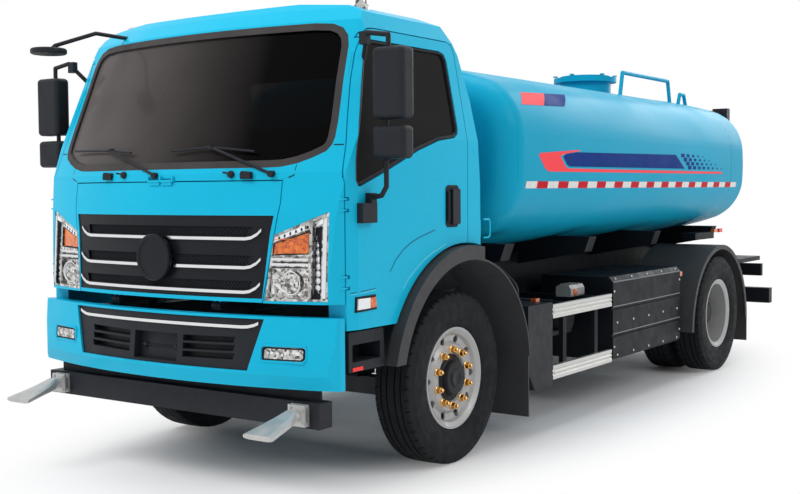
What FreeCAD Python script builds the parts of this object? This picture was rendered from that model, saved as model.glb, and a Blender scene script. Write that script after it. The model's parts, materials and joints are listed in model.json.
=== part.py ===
import FreeCAD, Part
import math
import os

import Sketcher
from FreeCAD import Placement, Rotation, Vector

# Two-axle water tanker truck with a tilting cab over the engine place.
# Millimetres. +Z is up, the truck looks along -Y and its left side is +X.
# The origin is on the ground, under the middle of the whole length and width.

SIZES = {
    # Running gear
    "front_reach": 1560, "rear_reach": 5920, "wheelbase": 4200,
    "tyre_radius": 508, "tyre_width": 254, "rim_flange_radius": 300, "rim_width": 216,
    "front_half_track": 970, "dual_outer_x": 1086, "dual_spacing": 318,
    "kingpin_x": 862, "kingpin_radius": 24, "hub_bore": 46, "running_clearance": 1,
    "hand_hole_circle": 462, "hand_hole": 46,
    # Chassis
    "rail_outer_x": 430, "rail_height": 260, "rail_flange": 80, "rail_wall": 9,
    "rail_top": 960, "rail_front": 1060, "rail_rear": 5660, "cross_tube": 90,
    "spring_x": 500, "spring_width": 80, "spring_seat": 590,
    # Cab
    "cab_half_width": 1150, "cab_back": 184, "cab_wall": 50, "door_wall": 60,
    "cab_nose": 1335, "cab_floor": 1060, "floor_wall": 90, "cab_side_foot": 905,
    "nose_radius": 3800, "screen_foot": 1712, "screen_foot_lean": 55,
    "screen_drop": 118, "screen_head_lean": 357, "roof_top": 2636, "seal_width": 38,
    "waist_height": 1900, "roof_lean": 100, "arch_radius": 800, "arch_wall": 40,
    "arch_inner_x": 600, "seam": 6, "glass": 8, "glass_inset": 16,
    "pivot_reach": 1262, "pivot_height": 1012, "pivot_eye": 24, "pivot_pin": 10,
    "hinge_set": 23, "hinge_reach": 1100, "hinge_pin": 4, "hinge_eye": 9, "pin_clearance": 0.5,
    "door_depth": 160, "door_front": 1108, "door_rear": 34, "door_drop": 166,
    "hatch_half_width": 800, "hatch_top": 1668, "hatch_wall": 30, "hatch_pivot": 1293,
    "hatch_pivot_rise": 5, "grille_half_width": 745,
    "grille_inset": 6, "strip_height": 16, "strip_proud": 8, "lamp_depth": 26,
    # Front end
    "bumper_foot": 605, "bumper_top": 972, "bumper_nose": 1372, "bumper_wall": 60,
    "bumper_wrap": 1135, "bar_half": 1045, "bar_foot": 410, "bar_height": 133,
    "bar_front": 1230, "bar_depth": 104, "nozzle_x": 925, "nozzle_height": 478,
    "nozzle_neck": 30, "bill_width": 190, "bill_height": 26, "bill_drop": 60, "flange_half": 55,
    "mirror_round": 26, "mirror_disc": 104, "beacon_radius": 34, "hose_radius": 9,
    # Side gear
    "locker_front": 775, "locker_rear": 1110, "cover_top": 865,
    "guard_front": 1120, "guard_rear": 2055,
    "battery_front": 2075, "battery_rear": 3405, "battery_foot": 350, "battery_top": 965,
    "side_x": 1150, "battery_inner_x": 560,
    # Tank
    "tank_half_width": 1210, "tank_foot": 1185, "tank_crest": 2475,
    "tank_front": 450, "tank_rear": 4950, "head_round": 170,
    "crest_radius": 2950, "flank_radius": 2250, "shoulder_radius": 400,
    "manhole_y": 4000, "manhole_radius": 285, "neck_radius": 235, "neck_height": 130,
    "lid_thickness": 22, "seat_gap": 0.3,
    # Rear end
    "fender_half_width": 1225, "fender_inner_x": 650, "fender_reach": 705, "fender_drop": 100,
    "fender_rim": 40,
    "sheet": 12, "deck_top": 940, "deck_rear": 5620, "deck_half": 1120,
    "underrun_half": 1150, "underrun_foot": 455, "underrun_height": 150, "underrun_depth": 90,
}

doc = FreeCAD.newDocument("tanker_truck")
sheet = doc.addObject("Spreadsheet::Sheet", "sizes")


class Size:
    """A sheet value with its formula, so that what is worked out from it stays bound."""

    def __init__(self, number, text):
        self.number = float(number)
        self.text = text

    def __float__(self):
        return self.number

    def __add__(self, other):
        return Size(self.number + float(other), "(%s + %s)" % (self.text, words(other)))

    def __radd__(self, other):
        return Size(float(other) + self.number, "(%s + %s)" % (words(other), self.text))

    def __sub__(self, other):
        return Size(self.number - float(other), "(%s - %s)" % (self.text, words(other)))

    def __rsub__(self, other):
        return Size(float(other) - self.number, "(%s - %s)" % (words(other), self.text))

    def __mul__(self, other):
        return Size(self.number * float(other), "(%s * %s)" % (self.text, words(other)))

    def __rmul__(self, other):
        return self * other

    def __truediv__(self, other):
        return Size(self.number / float(other), "(%s / %s)" % (self.text, words(other)))

    def __neg__(self):
        return Size(-self.number, "(0 - %s)" % self.text)


def words(value):
    return value.text if isinstance(value, Size) else repr(float(value))


class Sheet:
    """The named sizes, read as attributes."""


s = Sheet()
for row, (name, number) in enumerate(SIZES.items(), start=1):
    cell = "B%d" % row
    sheet.set("A%d" % row, name)
    sheet.set(cell, str(number))
    sheet.setAlias(cell, name)
    setattr(s, name, Size(number, "sizes." + name))
doc.recompute()

# Heights and places that follow others
s.door_top = s.roof_top - s.door_drop
s.door_inner_x = s.cab_half_width - s.door_depth
s.screen_head = s.roof_top - s.screen_drop
s.screen_foot_reach = s.cab_nose - s.screen_foot_lean
s.screen_head_reach = s.cab_nose - s.screen_head_lean
s.roof_edge_x = s.cab_half_width - s.roof_lean
s.hinge_x = s.cab_half_width - s.hinge_set

# Places along the truck: the axles, and distances counted rearward from the front one
axle = (s.front_reach - s.rear_reach) / 2
rear_axle = axle + s.wheelbase


def behind(distance):
    return axle + distance


def bind(thing, path, value):
    """Set one property, bound to the sheet where the value comes from it."""
    if isinstance(value, Size):
        thing.setExpression(path, value.text)
    else:
        setattr(thing, path, value)


def place(thing, x=0, y=0, z=0):
    for axis_name, value in (("x", x), ("y", y), ("z", z)):
        if isinstance(value, Size) or value:
            thing.setExpression("Placement.Base." + axis_name, words(value))
    return thing


def new_body(name):
    return doc.addObject("PartDesign::Body", name)


def new_sketch(body, name, role, offset=0):
    sketch = body.newObject("Sketcher::SketchObject", name)
    support = [plane for plane in body.Origin.OriginFeatures if plane.Role == role][0]
    sketch.AttachmentSupport = [(support, "")]
    sketch.MapMode = "FlatFace"
    if isinstance(offset, Size) or offset:
        sketch.setExpression("AttachmentOffset.Base.z", words(offset))
    return sketch


def outline(sketch, points):
    """A closed run of straight lines, each corner bound to its two sizes."""
    first = sketch.GeometryCount
    corners = [Vector(float(a), float(b), 0) for a, b in points]
    count = len(corners)
    for index in range(count):
        sketch.addGeometry(Part.LineSegment(corners[index], corners[(index + 1) % count]), False)
    for index in range(count):
        after = first + (index + 1) % count
        sketch.addConstraint(Sketcher.Constraint("Coincident", first + index, 2, after, 1))
    for index, (a, b) in enumerate(points):
        pin_point(sketch, first + index, 1, a, b)


def pin_point(sketch, geometry, end, a, b):
    for kind, value in (("DistanceX", a), ("DistanceY", b)):
        rule = Sketcher.Constraint(kind, -1, 1, geometry, end, float(value))
        number = sketch.addConstraint(rule)
        if isinstance(value, Size):
            sketch.setExpression("Constraints[%d]" % number, value.text)


def circle(sketch, a, b, radius):
    number = sketch.addGeometry(Part.Circle(Vector(float(a), float(b), 0), Vector(0, 0, 1), float(radius)))
    pin_point(sketch, number, 3, a, b)
    rule = sketch.addConstraint(Sketcher.Constraint("Radius", number, float(radius)))
    if isinstance(radius, Size):
        sketch.setExpression("Constraints[%d]" % rule, radius.text)


PLANES = {"XY": "XY_Plane", "XZ": "XZ_Plane", "YZ": "YZ_Plane"}


def prism(name, plane, points, low, high, holes=()):
    """A padded outline between two places on the axis square to its plane."""
    body = new_body(name)
    offset = -high if plane == "XZ" else low
    sketch = new_sketch(body, name + "_outline", PLANES[plane], offset)
    if len(points) == 3 and not isinstance(points[0], tuple):
        circle(sketch, *points)
    else:
        outline(sketch, points)
    for hole in holes:
        circle(sketch, *hole)
    pad = body.newObject("PartDesign::Pad", name + "_pad")
    pad.Profile = sketch
    bind(pad, "Length", high - low)
    return body


def turned(name, points, angle=360):
    """A profile of (along X, out from X) turned about the X axis of its own body."""
    body = new_body(name)
    sketch = new_sketch(body, name + "_profile", "XY_Plane")
    outline(sketch, points)
    turn = body.newObject("PartDesign::Revolution", name + "_turn")
    turn.Profile = sketch
    turn.ReferenceAxis = (sketch, ["H_Axis"])
    turn.Angle = angle
    return body


def round_off(body, radius, wanted):
    """Fillet the edges of a body's last feature whose middle the test accepts."""
    doc.recompute()
    tip = body.Tip
    names = []
    for number, edge in enumerate(tip.Shape.Edges, start=1):
        if wanted(edge, edge.valueAt((edge.FirstParameter + edge.LastParameter) / 2)):
            names.append("Edge%d" % number)
    fillet = body.newObject("PartDesign::Fillet", body.Name + "_round")
    fillet.Base = (tip, names)
    bind(fillet, "Radius", radius)
    return body


def box(name, x, y, z, dx, dy, dz):
    block = doc.addObject("Part::Box", name)
    bind(block, "Length", dx)
    bind(block, "Width", dy)
    bind(block, "Height", dz)
    return place(block, x, y, z)


def rod(name, x, y, z, radius, length, along="Z"):
    bar = doc.addObject("Part::Cylinder", name)
    bind(bar, "Radius", radius)
    bind(bar, "Height", length)
    turns = {"X": Rotation(Vector(0, 1, 0), 90), "Y": Rotation(Vector(1, 0, 0), -90), "Z": Rotation()}
    bar.Placement = Placement(Vector(), turns[along])
    return place(bar, x, y, z)


def joined(name, *parts):
    fused = doc.addObject("Part::MultiFuse", name)
    fused.Shapes = list(parts)
    fused.Refine = True
    return fused


def less(name, base, *tools):
    tool = tools[0]
    if len(tools) > 1:
        tool = joined(name + "_tools", *tools)
    result = doc.addObject("Part::Cut", name)
    result.Base = base
    result.Tool = tool
    result.Refine = True
    return result


def shared(name, *parts):
    result = doc.addObject("Part::MultiCommon", name)
    result.Shapes = list(parts)
    result.Refine = True
    return result


def mirror(name, source):
    copy = doc.addObject("Part::Mirroring", name)
    copy.Source = source
    copy.Base = Vector(0, 0, 0)
    copy.Normal = Vector(1, 0, 0)
    return copy


def group(name, *parts):
    bundle = doc.addObject("Part::Compound", name)
    bundle.Links = list(parts)
    return bundle


def pair(name, source):
    return group(name, source, mirror(name + "_other", source))


nodes = {}


def node(label, thing):
    thing.Label = label
    nodes[label] = thing
    return thing


def strut(name, start, end, radius):
    """A round bar between two points."""
    a = Vector(*[float(value) for value in start])
    b = Vector(*[float(value) for value in end])
    bar = doc.addObject("Part::Feature", name)
    bar.Shape = Part.makeCylinder(float(radius), (b - a).Length, a, b - a)
    return bar


def bent_bar(name, points, radius):
    """Round bars end to end with a ball at each bend."""
    parts = []
    for number, (start, end) in enumerate(zip(points, points[1:])):
        parts.append(strut("%s_run%d" % (name, number), start, end, radius))
    for number, point in enumerate(points[1:-1]):
        ball = doc.addObject("Part::Sphere", "%s_bend%d" % (name, number))
        bind(ball, "Radius", radius)
        parts.append(place(ball, *point))
    return joined(name, *parts)


def hose(name, points, radius):
    """A round tube along straight runs joined by tangent arcs, as large as the runs allow."""
    corners = [Vector(*[float(value) for value in point]) for point in points]
    edges = []
    start = corners[0]
    for before, corner, after in zip(corners, corners[1:], corners[2:]):
        way_in = (corner - before).normalize()
        way_out = (after - corner).normalize()
        trim = 0.45 * min((corner - before).Length, (after - corner).Length)
        entry = corner - way_in * trim
        leave = corner + way_out * trim
        inward = (way_out - way_in).normalize()
        half_turn = way_in.getAngle(way_out) / 2
        bend = trim / math.tan(half_turn)
        middle = corner + inward * (bend / math.cos(half_turn) - bend)
        edges.append(Part.LineSegment(start, entry).toShape())
        edges.append(Part.Arc(entry, middle, leave).toShape())
        start = leave
    edges.append(Part.LineSegment(start, corners[-1]).toShape())
    ring = Part.Wire([Part.makeCircle(float(radius), corners[0], corners[1] - corners[0])])
    tube = doc.addObject("Part::Feature", name)
    tube.Shape = Part.Wire(edges).makePipeShell([ring], True, False)
    return tube


# Wheels: each turned about its own hub, then set on the axle
half_rim = s.rim_width / 2
half_tyre = s.tyre_width / 2
flange = s.rim_flange_radius
barrel = flange - 30
bore = s.hub_bore + s.running_clearance


def tyre_profile(middle):
    bead = half_rim - 12.3
    half = [(bead, barrel + s.seat_gap), (bead, flange + 2), (half_tyre - 8, flange + 48),
            (half_tyre, flange + 88), (half_tyre, flange + 128), (half_tyre - 8, s.tyre_radius - 28),
            (half_tyre - 30, s.tyre_radius)]
    left = [(middle - x, radius) for x, radius in half]
    right = [(middle + x, radius) for x, radius in reversed(half)]
    return left + right


def front_rim_profile():
    return [
        (-half_rim, flange), (12 - half_rim, flange), (12 - half_rim, barrel),
        (half_rim - 12, barrel), (half_rim - 12, flange), (half_rim, flange),
        (half_rim, flange - 13), (half_rim - 16, flange - 38), (half_rim - 36, flange - 50),
        (half_rim - 42, flange - 84), (half_rim - 22, flange - 104), (half_rim - 18, flange - 150),
        (half_rim - 34, flange - 160), (half_rim - 34, 98), (half_rim, 92), (half_rim + 8, 60),
        (half_rim + 8, 0), (64, 0), (64, bore), (-20, bore), (-20, 100), (40, 100), (40, 190),
        (-62, 190), (-62, 205), (half_rim - 54, 205), (half_rim - 52, flange - 84),
        (half_rim - 48, flange - 54), (18 - half_rim, flange - 42), (-half_rim, flange - 14)]


def dual_rim_profile(side):
    middle = s.dual_spacing / 2
    points = [
        (middle - half_rim, flange), (middle - half_rim + 12, flange), (middle - half_rim + 12, barrel),
        (middle + half_rim - 12, barrel), (middle + half_rim - 12, flange), (middle + half_rim, flange),
        (middle + half_rim, flange - 14), (middle + half_rim - 17, flange - 42),
        (84, flange - 50), (34, flange - 78), (12, flange - 100), (12, 100), (0, 100),
        (0, flange - 94), (20, flange - 68), (middle - half_rim, flange - 38)]
    return [(side * x, radius) for x, radius in points]


def dual_hub_profile():
    return [(-150, bore), (-150, 95), (-30, 95), (-30, 192), (-200, 192), (-200, 206), (-8, 206),
            (-8, 150), (20, 150), (20, 120), (150, 112), (170, 96), (170, 0), (126, 0), (126, bore)]


def hand_holes(body, name, offset, depth):
    """Round openings through the wheel disc, ten on one circle."""
    sketch = new_sketch(body, name, "YZ_Plane", offset)
    for number in range(10):
        angle = math.radians(36 * number)
        reach = s.hand_hole_circle / 2
        circle(sketch, reach * math.cos(angle), reach * math.sin(angle), s.hand_hole / 2)
    pocket = body.newObject("PartDesign::Pocket", name + "_cut")
    pocket.Profile = sketch
    bind(pocket, "Length", depth)


def front_wheels():
    tyre = turned("front_tyre_form", tyre_profile(0))
    rim = turned("front_rim_form", front_rim_profile())
    hand_holes(rim, "front_hand_holes", half_rim + 20, 80)
    for form, label in ((tyre, "tyre_front"), (rim, "rim_front")):
        place(form, s.front_half_track, axle, s.tyre_radius)
        node(label + "_left", form)
        node(label + "_right", mirror(label + "_mirrored", form))


def rear_wheels():
    middle = s.dual_outer_x - s.dual_spacing / 2
    tyres = []
    for number, side in enumerate((1, -1)):
        tyre = turned("rear_tyre_form%d" % number, tyre_profile(side * s.dual_spacing / 2))
        tyres.append(place(tyre, middle, rear_axle, s.tyre_radius))
    parts = []
    for name, points in (("dual_outer_rim", dual_rim_profile(1)), ("dual_inner_rim", dual_rim_profile(-1)),
                         ("dual_hub", dual_hub_profile())):
        part = turned(name, points)
        if name != "dual_hub":
            hand_holes(part, name + "_holes", 46, 92)
        parts.append(place(part, middle, rear_axle, s.tyre_radius))
    rims = joined("dual_rims", *parts)
    pair_of_tyres = group("dual_tyres", *tyres)
    for form, label in ((pair_of_tyres, "tyres_rear"), (rims, "rims_rear")):
        node(label + "_left", form)
        node(label + "_right", mirror(label + "_mirrored", form))


def front_axle():
    y = axle
    z = s.tyre_radius
    x = s.kingpin_x
    beam = prism("axle_beam", "XZ", [
        (-x, z + 52), (-640, z - 38), (640, z - 38), (x, z + 52),
        (x, z - 52), (x - 70, z - 52), (600, z - 146), (-600, z - 146), (70 - x, z - 52), (-x, z - 52)],
        y - 50, y + 50)
    parts = [beam]
    pins = []
    for side, tag in ((1, "left"), (-1, "right")):
        parts.append(rod("axle_eye_" + tag, side * x, y, z - 60, 56, 120))
        pins.append(rod("axle_pin_hole_" + tag, side * x, y, z - 80,
                        s.kingpin_radius + s.running_clearance, 160))
    node("front_axle", less("axle_bored", joined("axle_blank", *parts), *pins))


def knuckles():
    y = axle
    z = s.tyre_radius
    x = s.kingpin_x
    gap = 60 + s.seat_gap
    back = x + 60
    parts = [
        rod("knuckle_top_ear", x, y, z + gap, 54, 60), rod("knuckle_low_ear", x, y, z - gap - 60, 54, 60),
        box("knuckle_top_arm", x, y - 44, z + gap, 70, 88, 60),
        box("knuckle_low_arm", x, y - 44, z - gap - 60, 70, 88, 60),
        box("knuckle_back", back, y - 66, z - gap - 60, 16, 132, 2 * gap + 120),
        rod("kingpin", x, y, z - gap - 60, s.kingpin_radius, 2 * gap + 120),
        rod("spindle", back + 10, y, z, s.hub_bore, s.front_half_track + 60 - back - 10, "X")]
    knuckle = joined("knuckle_form", *parts)
    node("knuckle_left", knuckle)
    node("knuckle_right", mirror("knuckle_mirrored", knuckle))


def rear_axle_beam():
    y = rear_axle
    z = s.tyre_radius
    tube = s.dual_outer_x - s.dual_spacing / 2 - 165
    tip = s.dual_outer_x - s.dual_spacing / 2 + 120
    parts = [rod("axle_tube", -tube, y, z, 65, 2 * tube, "X"),
             rod("axle_spindles", -tip, y, z, s.hub_bore, 2 * tip, "X"),
             rod("differential", -80, y, z, 200, 160, "X")]
    for tag, low in (("a", 80), ("b", -240)):
        cone = doc.addObject("Part::Cone", "differential_flank_" + tag)
        cone.Radius1 = 200 if tag == "a" else 70
        cone.Radius2 = 70 if tag == "a" else 200
        cone.Height = 160
        cone.Placement = Placement(Vector(), Rotation(Vector(0, 1, 0), 90))
        parts.append(place(cone, low, y, z))
    node("rear_axle", joined("rear_axle_form", *parts))


def leaf_springs():
    """A stack of leaves between hangers under the rails, four in all."""
    inner = s.rail_outer_x - s.rail_flange
    foot = s.rail_top - s.rail_height - s.seat_gap
    springs = []
    for tag, y, seat in (("front", axle, s.tyre_radius - 38 + s.seat_gap),
                         ("rear", rear_axle, s.tyre_radius + 65 + s.seat_gap)):
        half = [(90, seat), (90, seat + 24), (330, seat + 36), (610, foot - 60), (640, foot), (580, foot),
                (575, foot - 36), (320, seat + 66), (90, seat + 62)]
        right = [(y + along, height) for along, height in half]
        left = [(y - along, height) for along, height in reversed(half)]
        springs.append(prism("leaves_" + tag, "YZ", right + left, inner, s.rail_outer_x))
    node("leaf_springs", pair("leaf_springs_all", group("leaf_springs_left", *springs)))


def pivot_bracket(side, tag):
    """The arm that stands on a rail's front end and carries the cab's pivot pin."""
    middle = s.rail_outer_x - s.rail_flange / 2
    low = side * middle - 10
    rear = axle - s.rail_front
    y = behind(-s.pivot_reach)
    z = s.pivot_height
    arm = box("pivot_arm_" + tag, low, y, z - s.pivot_eye, 20, rear + 60 - y, 2 * s.pivot_eye - 12)
    foot = box("pivot_foot_" + tag, low - 20, rear, s.rail_top, 60, 60, z - s.rail_top)
    eye = rod("pivot_eye_" + tag, low, y, z, s.pivot_eye, 20, "X")
    pin = rod("pivot_pin_" + tag, low - 24, y, z, s.pivot_pin, 68, "X")
    return joined("pivot_bracket_" + tag, arm, foot, eye, pin)


def cab_lugs(side, tag):
    """The two ears under the cab's front wall, one each side of the pivot arm."""
    middle = s.rail_outer_x - s.rail_flange / 2
    y = behind(-s.pivot_reach)
    z = s.pivot_height
    parts = []
    for number, start in enumerate((12, -27)):
        low = side * middle + start
        parts.append(rod("lug_eye_%s%d" % (tag, number), low, y, z, s.pivot_eye - 4, 15, "X"))
        parts.append(box("lug_neck_%s%d" % (tag, number), low, y - s.pivot_pin + 2, z, 15,
                         s.pivot_eye + 4, s.cab_floor - z))
    hole = rod("lug_hole_" + tag, side * middle - 40, y, z, s.pivot_pin + s.running_clearance, 80, "X")
    return less("lugs_" + tag, joined("lug_blank_" + tag, *parts), hole)


def frame():
    x = s.rail_outer_x
    low = s.rail_top - s.rail_height
    top = s.rail_top
    wall = s.rail_wall
    tip = x - s.rail_flange
    rail = prism("rail", "XZ", [
        (x, low), (x, top), (tip, top), (tip, top - wall), (x - wall, top - wall),
        (x - wall, low + wall), (tip, low + wall), (tip, low)], axle - s.rail_front, behind(s.rail_rear))
    parts = [rail, mirror("rail_other", rail)]
    for number, along in enumerate((-1000, 560, 1300, 2650, 3420, 4980, 5450)):
        parts.append(box("cross_member%d" % number, -x + wall / 2, behind(along), low + 60,
                         2 * x - wall, s.cross_tube, 140))
    under = s.cab_floor - 20 - s.seat_gap
    parts.append(box("cab_rest", -x, behind(40), top, 2 * x, 70, under - top))
    for side, tag in ((1, "left"), (-1, "right")):
        parts.append(pivot_bracket(side, tag))
    node("frame", joined("frame_form", *parts))


def drive():
    """The motor block between the rails, and the shaft from it to the rear axle."""
    low = s.rail_top - s.rail_height
    z = s.tyre_radius
    block = box("motor_block", -230, behind(1500), z - 60, 460, 700, 440)
    bar = box("motor_bar", -s.rail_outer_x, behind(1800), low - 40 - s.seat_gap, 2 * s.rail_outer_x, 80, 40)
    node("drive_motor", joined("drive_motor_form", block, bar))
    start = behind(2200)
    node("propshaft", rod("propshaft_form", 0, start, z, 45, rear_axle - 200 - start, "Y"))


def side_gear():
    x = s.rail_outer_x
    side = s.side_x
    inner = s.battery_inner_x
    low = s.battery_foot
    top = s.battery_top
    case = prism("battery_case", "XZ", [
        (inner, low), (side - 20, low), (side, low + 20), (side, low + 170), (side - 10, low + 176),
        (side - 10, low + 190), (side, low + 196), (side, low + 370), (side - 10, low + 376),
        (side - 10, low + 390), (side, low + 396), (side, top - 36), (side - 34, top), (inner, top)],
        behind(s.battery_front), behind(s.battery_rear))
    brackets = []
    for number, along in enumerate((140, 600, 1060)):
        brackets.append(box("battery_bracket%d" % number, x, behind(s.battery_front + along), 760,
                            inner - x + 1, 90, 70))
    node("battery_boxes", pair("battery_pair", joined("battery_left", case, *brackets)))

    parts = []
    for tag, foot in (("low", 345), ("high", 755)):
        parts.append(prism("guard_rail_" + tag, "XZ", [
            (side - 28, foot), (side, foot), (side, foot + 24), (side - 5, foot + 28), (side - 5, foot + 36),
            (side, foot + 40), (side, foot + 52), (side - 5, foot + 56), (side - 5, foot + 64),
            (side, foot + 68), (side, foot + 92), (side - 28, foot + 92)],
            behind(s.guard_front), behind(s.guard_rear)))
    for number, along in enumerate((200, 700)):
        parts.append(box("guard_post%d" % number, side - 60, behind(s.guard_front + along), 345, 33, 50, 502))
        parts.append(box("guard_arm%d" % number, x, behind(s.guard_front + along), 790,
                         side - 50 - x, 50, 57))
    node("side_guards", pair("guard_pair", joined("guard_left", *parts)))

    cover = prism("cover", "YZ", [
        (behind(s.locker_front), 430), (behind(s.locker_front), s.cover_top),
        (behind(s.locker_rear), s.cover_top),
        (behind(s.locker_rear), 308), (behind(s.locker_front + 90), 308)], side - 260, side)
    arm = box("cover_arm", x, behind(s.locker_front + 120), 770, side - 250 - x, 80, 60)
    node("side_covers", pair("cover_pair", joined("cover_left", cover, arm)))

    pump = [box("pump_case", 520, behind(1400), 590, 330, 300, 230),
            rod("pump_drum", 470, behind(1860), 670, 105, 420, "X"),
            box("pump_tray", x, behind(1400), 560, 440, 560, 30),
            box("pump_hanger", x, behind(1500), 560, 20, 360, 180)]
    node("pump_unit", joined("pump_form", *pump))


def tank_section(body, name, offset, grow):
    """The tank's closed section: four long arcs joined by four shoulder arcs, all tangent."""
    sketch = new_sketch(body, name, "XZ_Plane", offset)
    middle = (s.tank_crest + s.tank_foot) / 2
    crest = s.crest_radius + grow
    flank = s.flank_radius + grow
    corner = s.shoulder_radius + grow
    crest_centre = middle - s.tank_crest + s.crest_radius
    flank_centre = s.flank_radius - s.tank_half_width
    # The shoulder's centre lies where its circle touches both long arcs
    a = float(flank_centre)
    b = float(crest_centre)
    to_crest = float(crest - corner)
    to_flank = float(flank - corner)
    gap = math.hypot(a, b)
    along = (to_crest ** 2 - to_flank ** 2 + gap ** 2) / (2 * gap)
    aside = math.sqrt(to_crest ** 2 - along ** 2)
    # Distances are counted from (0, -b), the crest arc's centre, towards (-a, 0)
    ux, uy = -a / gap, b / gap
    cx = ux * along + uy * aside
    cy = -b + uy * along - ux * aside
    turn = math.atan2(cy + b, cx)
    lean = math.atan2(cy, cx + a)
    z0 = float(middle)
    quarters = [(0, -b, crest, turn, math.pi - turn), (-cx, cy, corner, math.pi - turn, math.pi - lean),
                (a, 0, flank, math.pi - lean, math.pi + lean),
                (-cx, -cy, corner, math.pi + lean, math.pi + turn),
                (0, b, crest, math.pi + turn, 2 * math.pi - turn),
                (cx, -cy, corner, 2 * math.pi - turn, 2 * math.pi - lean),
                (-a, 0, flank, -lean, lean), (cx, cy, corner, lean, turn)]
    for x, z, radius, start, end in quarters:
        ring = Part.Circle(Vector(x, z + z0, 0), Vector(0, 0, 1), float(radius))
        sketch.addGeometry(Part.ArcOfCircle(ring, start, end), False)
    for number in range(8):
        sketch.addConstraint(Sketcher.Constraint("Tangent", number, 2, (number + 1) % 8, 1))
        rule = sketch.addConstraint(Sketcher.Constraint("Radius", number, float(quarters[number][2])))
        sketch.setExpression("Constraints[%d]" % rule, quarters[number][2].text)
    zero = s.tank_half_width * 0
    pin_point(sketch, 0, 3, zero, middle - crest_centre)
    pin_point(sketch, 4, 3, zero, middle + crest_centre)
    pin_point(sketch, 2, 3, flank_centre, middle)
    pin_point(sketch, 6, 3, -flank_centre, middle)
    return sketch


def tank_form(name, grow):
    body = new_body(name)
    sketch = tank_section(body, name + "_section", -behind(s.tank_rear + grow), grow)
    pad = body.newObject("PartDesign::Pad", name + "_pad")
    pad.Profile = sketch
    bind(pad, "Length", s.tank_rear - s.tank_front + 2 * grow)
    ends = (float(behind(s.tank_front - grow)), float(behind(s.tank_rear + grow)))
    return round_off(body, s.head_round,
                     lambda edge, point: min(abs(point.y - ends[0]), abs(point.y - ends[1])) < 0.01)


def tank_and_saddle():
    tank = node("tank", tank_form("tank_form", s.seat_gap * 0))
    clear = tank_form("tank_clearance", s.seat_gap)
    x = s.rail_outer_x
    top = s.rail_top
    parts = []
    for side, tag in ((1, "left"), (-1, "right")):
        left = x - s.rail_flange if side > 0 else -x
        parts.append(box("bearer_" + tag, left, behind(s.tank_front + 150), top, s.rail_flange,
                         s.tank_rear - s.tank_front - 200, s.tank_foot - 40 - top))
    for number, along in enumerate((260, 1500, 2740, 4080)):
        foot = s.tank_foot
        start = behind(s.tank_front + along)
        parts.append(prism("cradle%d" % number, "XZ", [
            (-x, top), (x, top), (x, foot - 130), (980, foot - 30), (1020, foot + 80),
            (-1020, foot + 80), (-980, foot - 30), (-x, foot - 130)], start, start + 120))
    bracket = box("lamp_bracket", 900, behind(4080), s.tank_foot - 30, 130, 470, 60)
    parts += [bracket, mirror("lamp_bracket_other", bracket)]
    node("tank_saddle", less("saddle_cut", joined("saddle_blank", *parts), clear))

    crest = s.tank_crest
    y = behind(s.manhole_y)
    rim = crest + s.neck_height
    hinge = y + s.manhole_radius + 23
    ear = prism("lid_ear", "YZ", [
        (hinge - 38, rim - 20), (hinge + 14, rim - 20), (hinge + 14, rim + 22), (hinge - 12, rim + 22),
        (hinge - 12, rim), (hinge - 38, rim)], 63, 75)
    pin = rod("lid_pin", -75, hinge, rim + s.lid_thickness / 2, 6, 150, "X")
    neck = joined("neck_blank", rod("neck_wall", 0, y, crest - 40, s.neck_radius, s.neck_height + 40),
                  rod("neck_flange", 0, y, rim - 20, s.manhole_radius, 20),
                  ear, mirror("lid_ear_other", ear), pin)
    mouth = rod("manhole_mouth", 0, y, crest - 60, s.neck_radius - 14, s.neck_height + 80)
    node("manhole_neck", less("neck_cut", neck, clear, mouth))
    lid = joined("lid_blank", rod("lid_plate", 0, y, rim + s.seat_gap, s.manhole_radius, s.lid_thickness),
                 rod("lid_crown", 0, y, rim + s.lid_thickness, s.manhole_radius - 60, 18),
                 box("lid_lug", -60, y, rim + s.seat_gap, 120, s.manhole_radius + 36, s.lid_thickness))
    lid = less("lid_form", lid, rod("lid_pin_hole", -80, hinge, rim + s.lid_thickness / 2, 7, 160, "X"))
    node("manhole_lid", lid)

    hoops = []
    for tag, x_at, start, end, height in (("long", 600, 3420, 4560, 190), ("low", 640, 4150, 4830, 80)):
        if tag == "low":
            start, end = 4640, 4860
        level = crest - 60 + height
        hoops.append(bent_bar("hoop_" + tag, [
            (x_at, behind(start), crest - 110), (x_at, behind(start + 60), level),
            (x_at, behind(end - 60), level), (x_at, behind(end), crest - 110)], 17))
    hoop_group = group("hoops_left", *[less(hoop.Name + "_seated", hoop, clear) for hoop in hoops])
    node("tank_rails", pair("hoops_all", hoop_group))

    lamp = joined("work_lamp_form", box("lamp_arm", 880, behind(4700), 2290, 50, 330, 40),
                  box("lamp_case", 850, behind(5000), 2225, 140, 80, 140))
    node("work_lamps", pair("work_lamps_all", less("work_lamp_seated", lamp, clear)))


# Front end: bumper, grille insert, lamps, spray bar
def nose_form(name, profile):
    """A front profile of (reach ahead of the axle, height) swept round the nose's plan curve."""
    body = new_body(name)
    sketch = new_sketch(body, name + "_profile", "YZ_Plane")
    front = [(s.cab_nose - s.nose_radius - reach, height) for reach, height in profile]
    outline(sketch, front + [(0, profile[-1][1]), (0, profile[0][1])])
    turn = body.newObject("PartDesign::Revolution", name + "_turn")
    turn.Profile = sketch
    turn.ReferenceAxis = (sketch, ["V_Axis"])
    turn.Angle = 60
    turn.Midplane = True
    return place(body, 0, axle - s.cab_nose + s.nose_radius)


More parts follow.
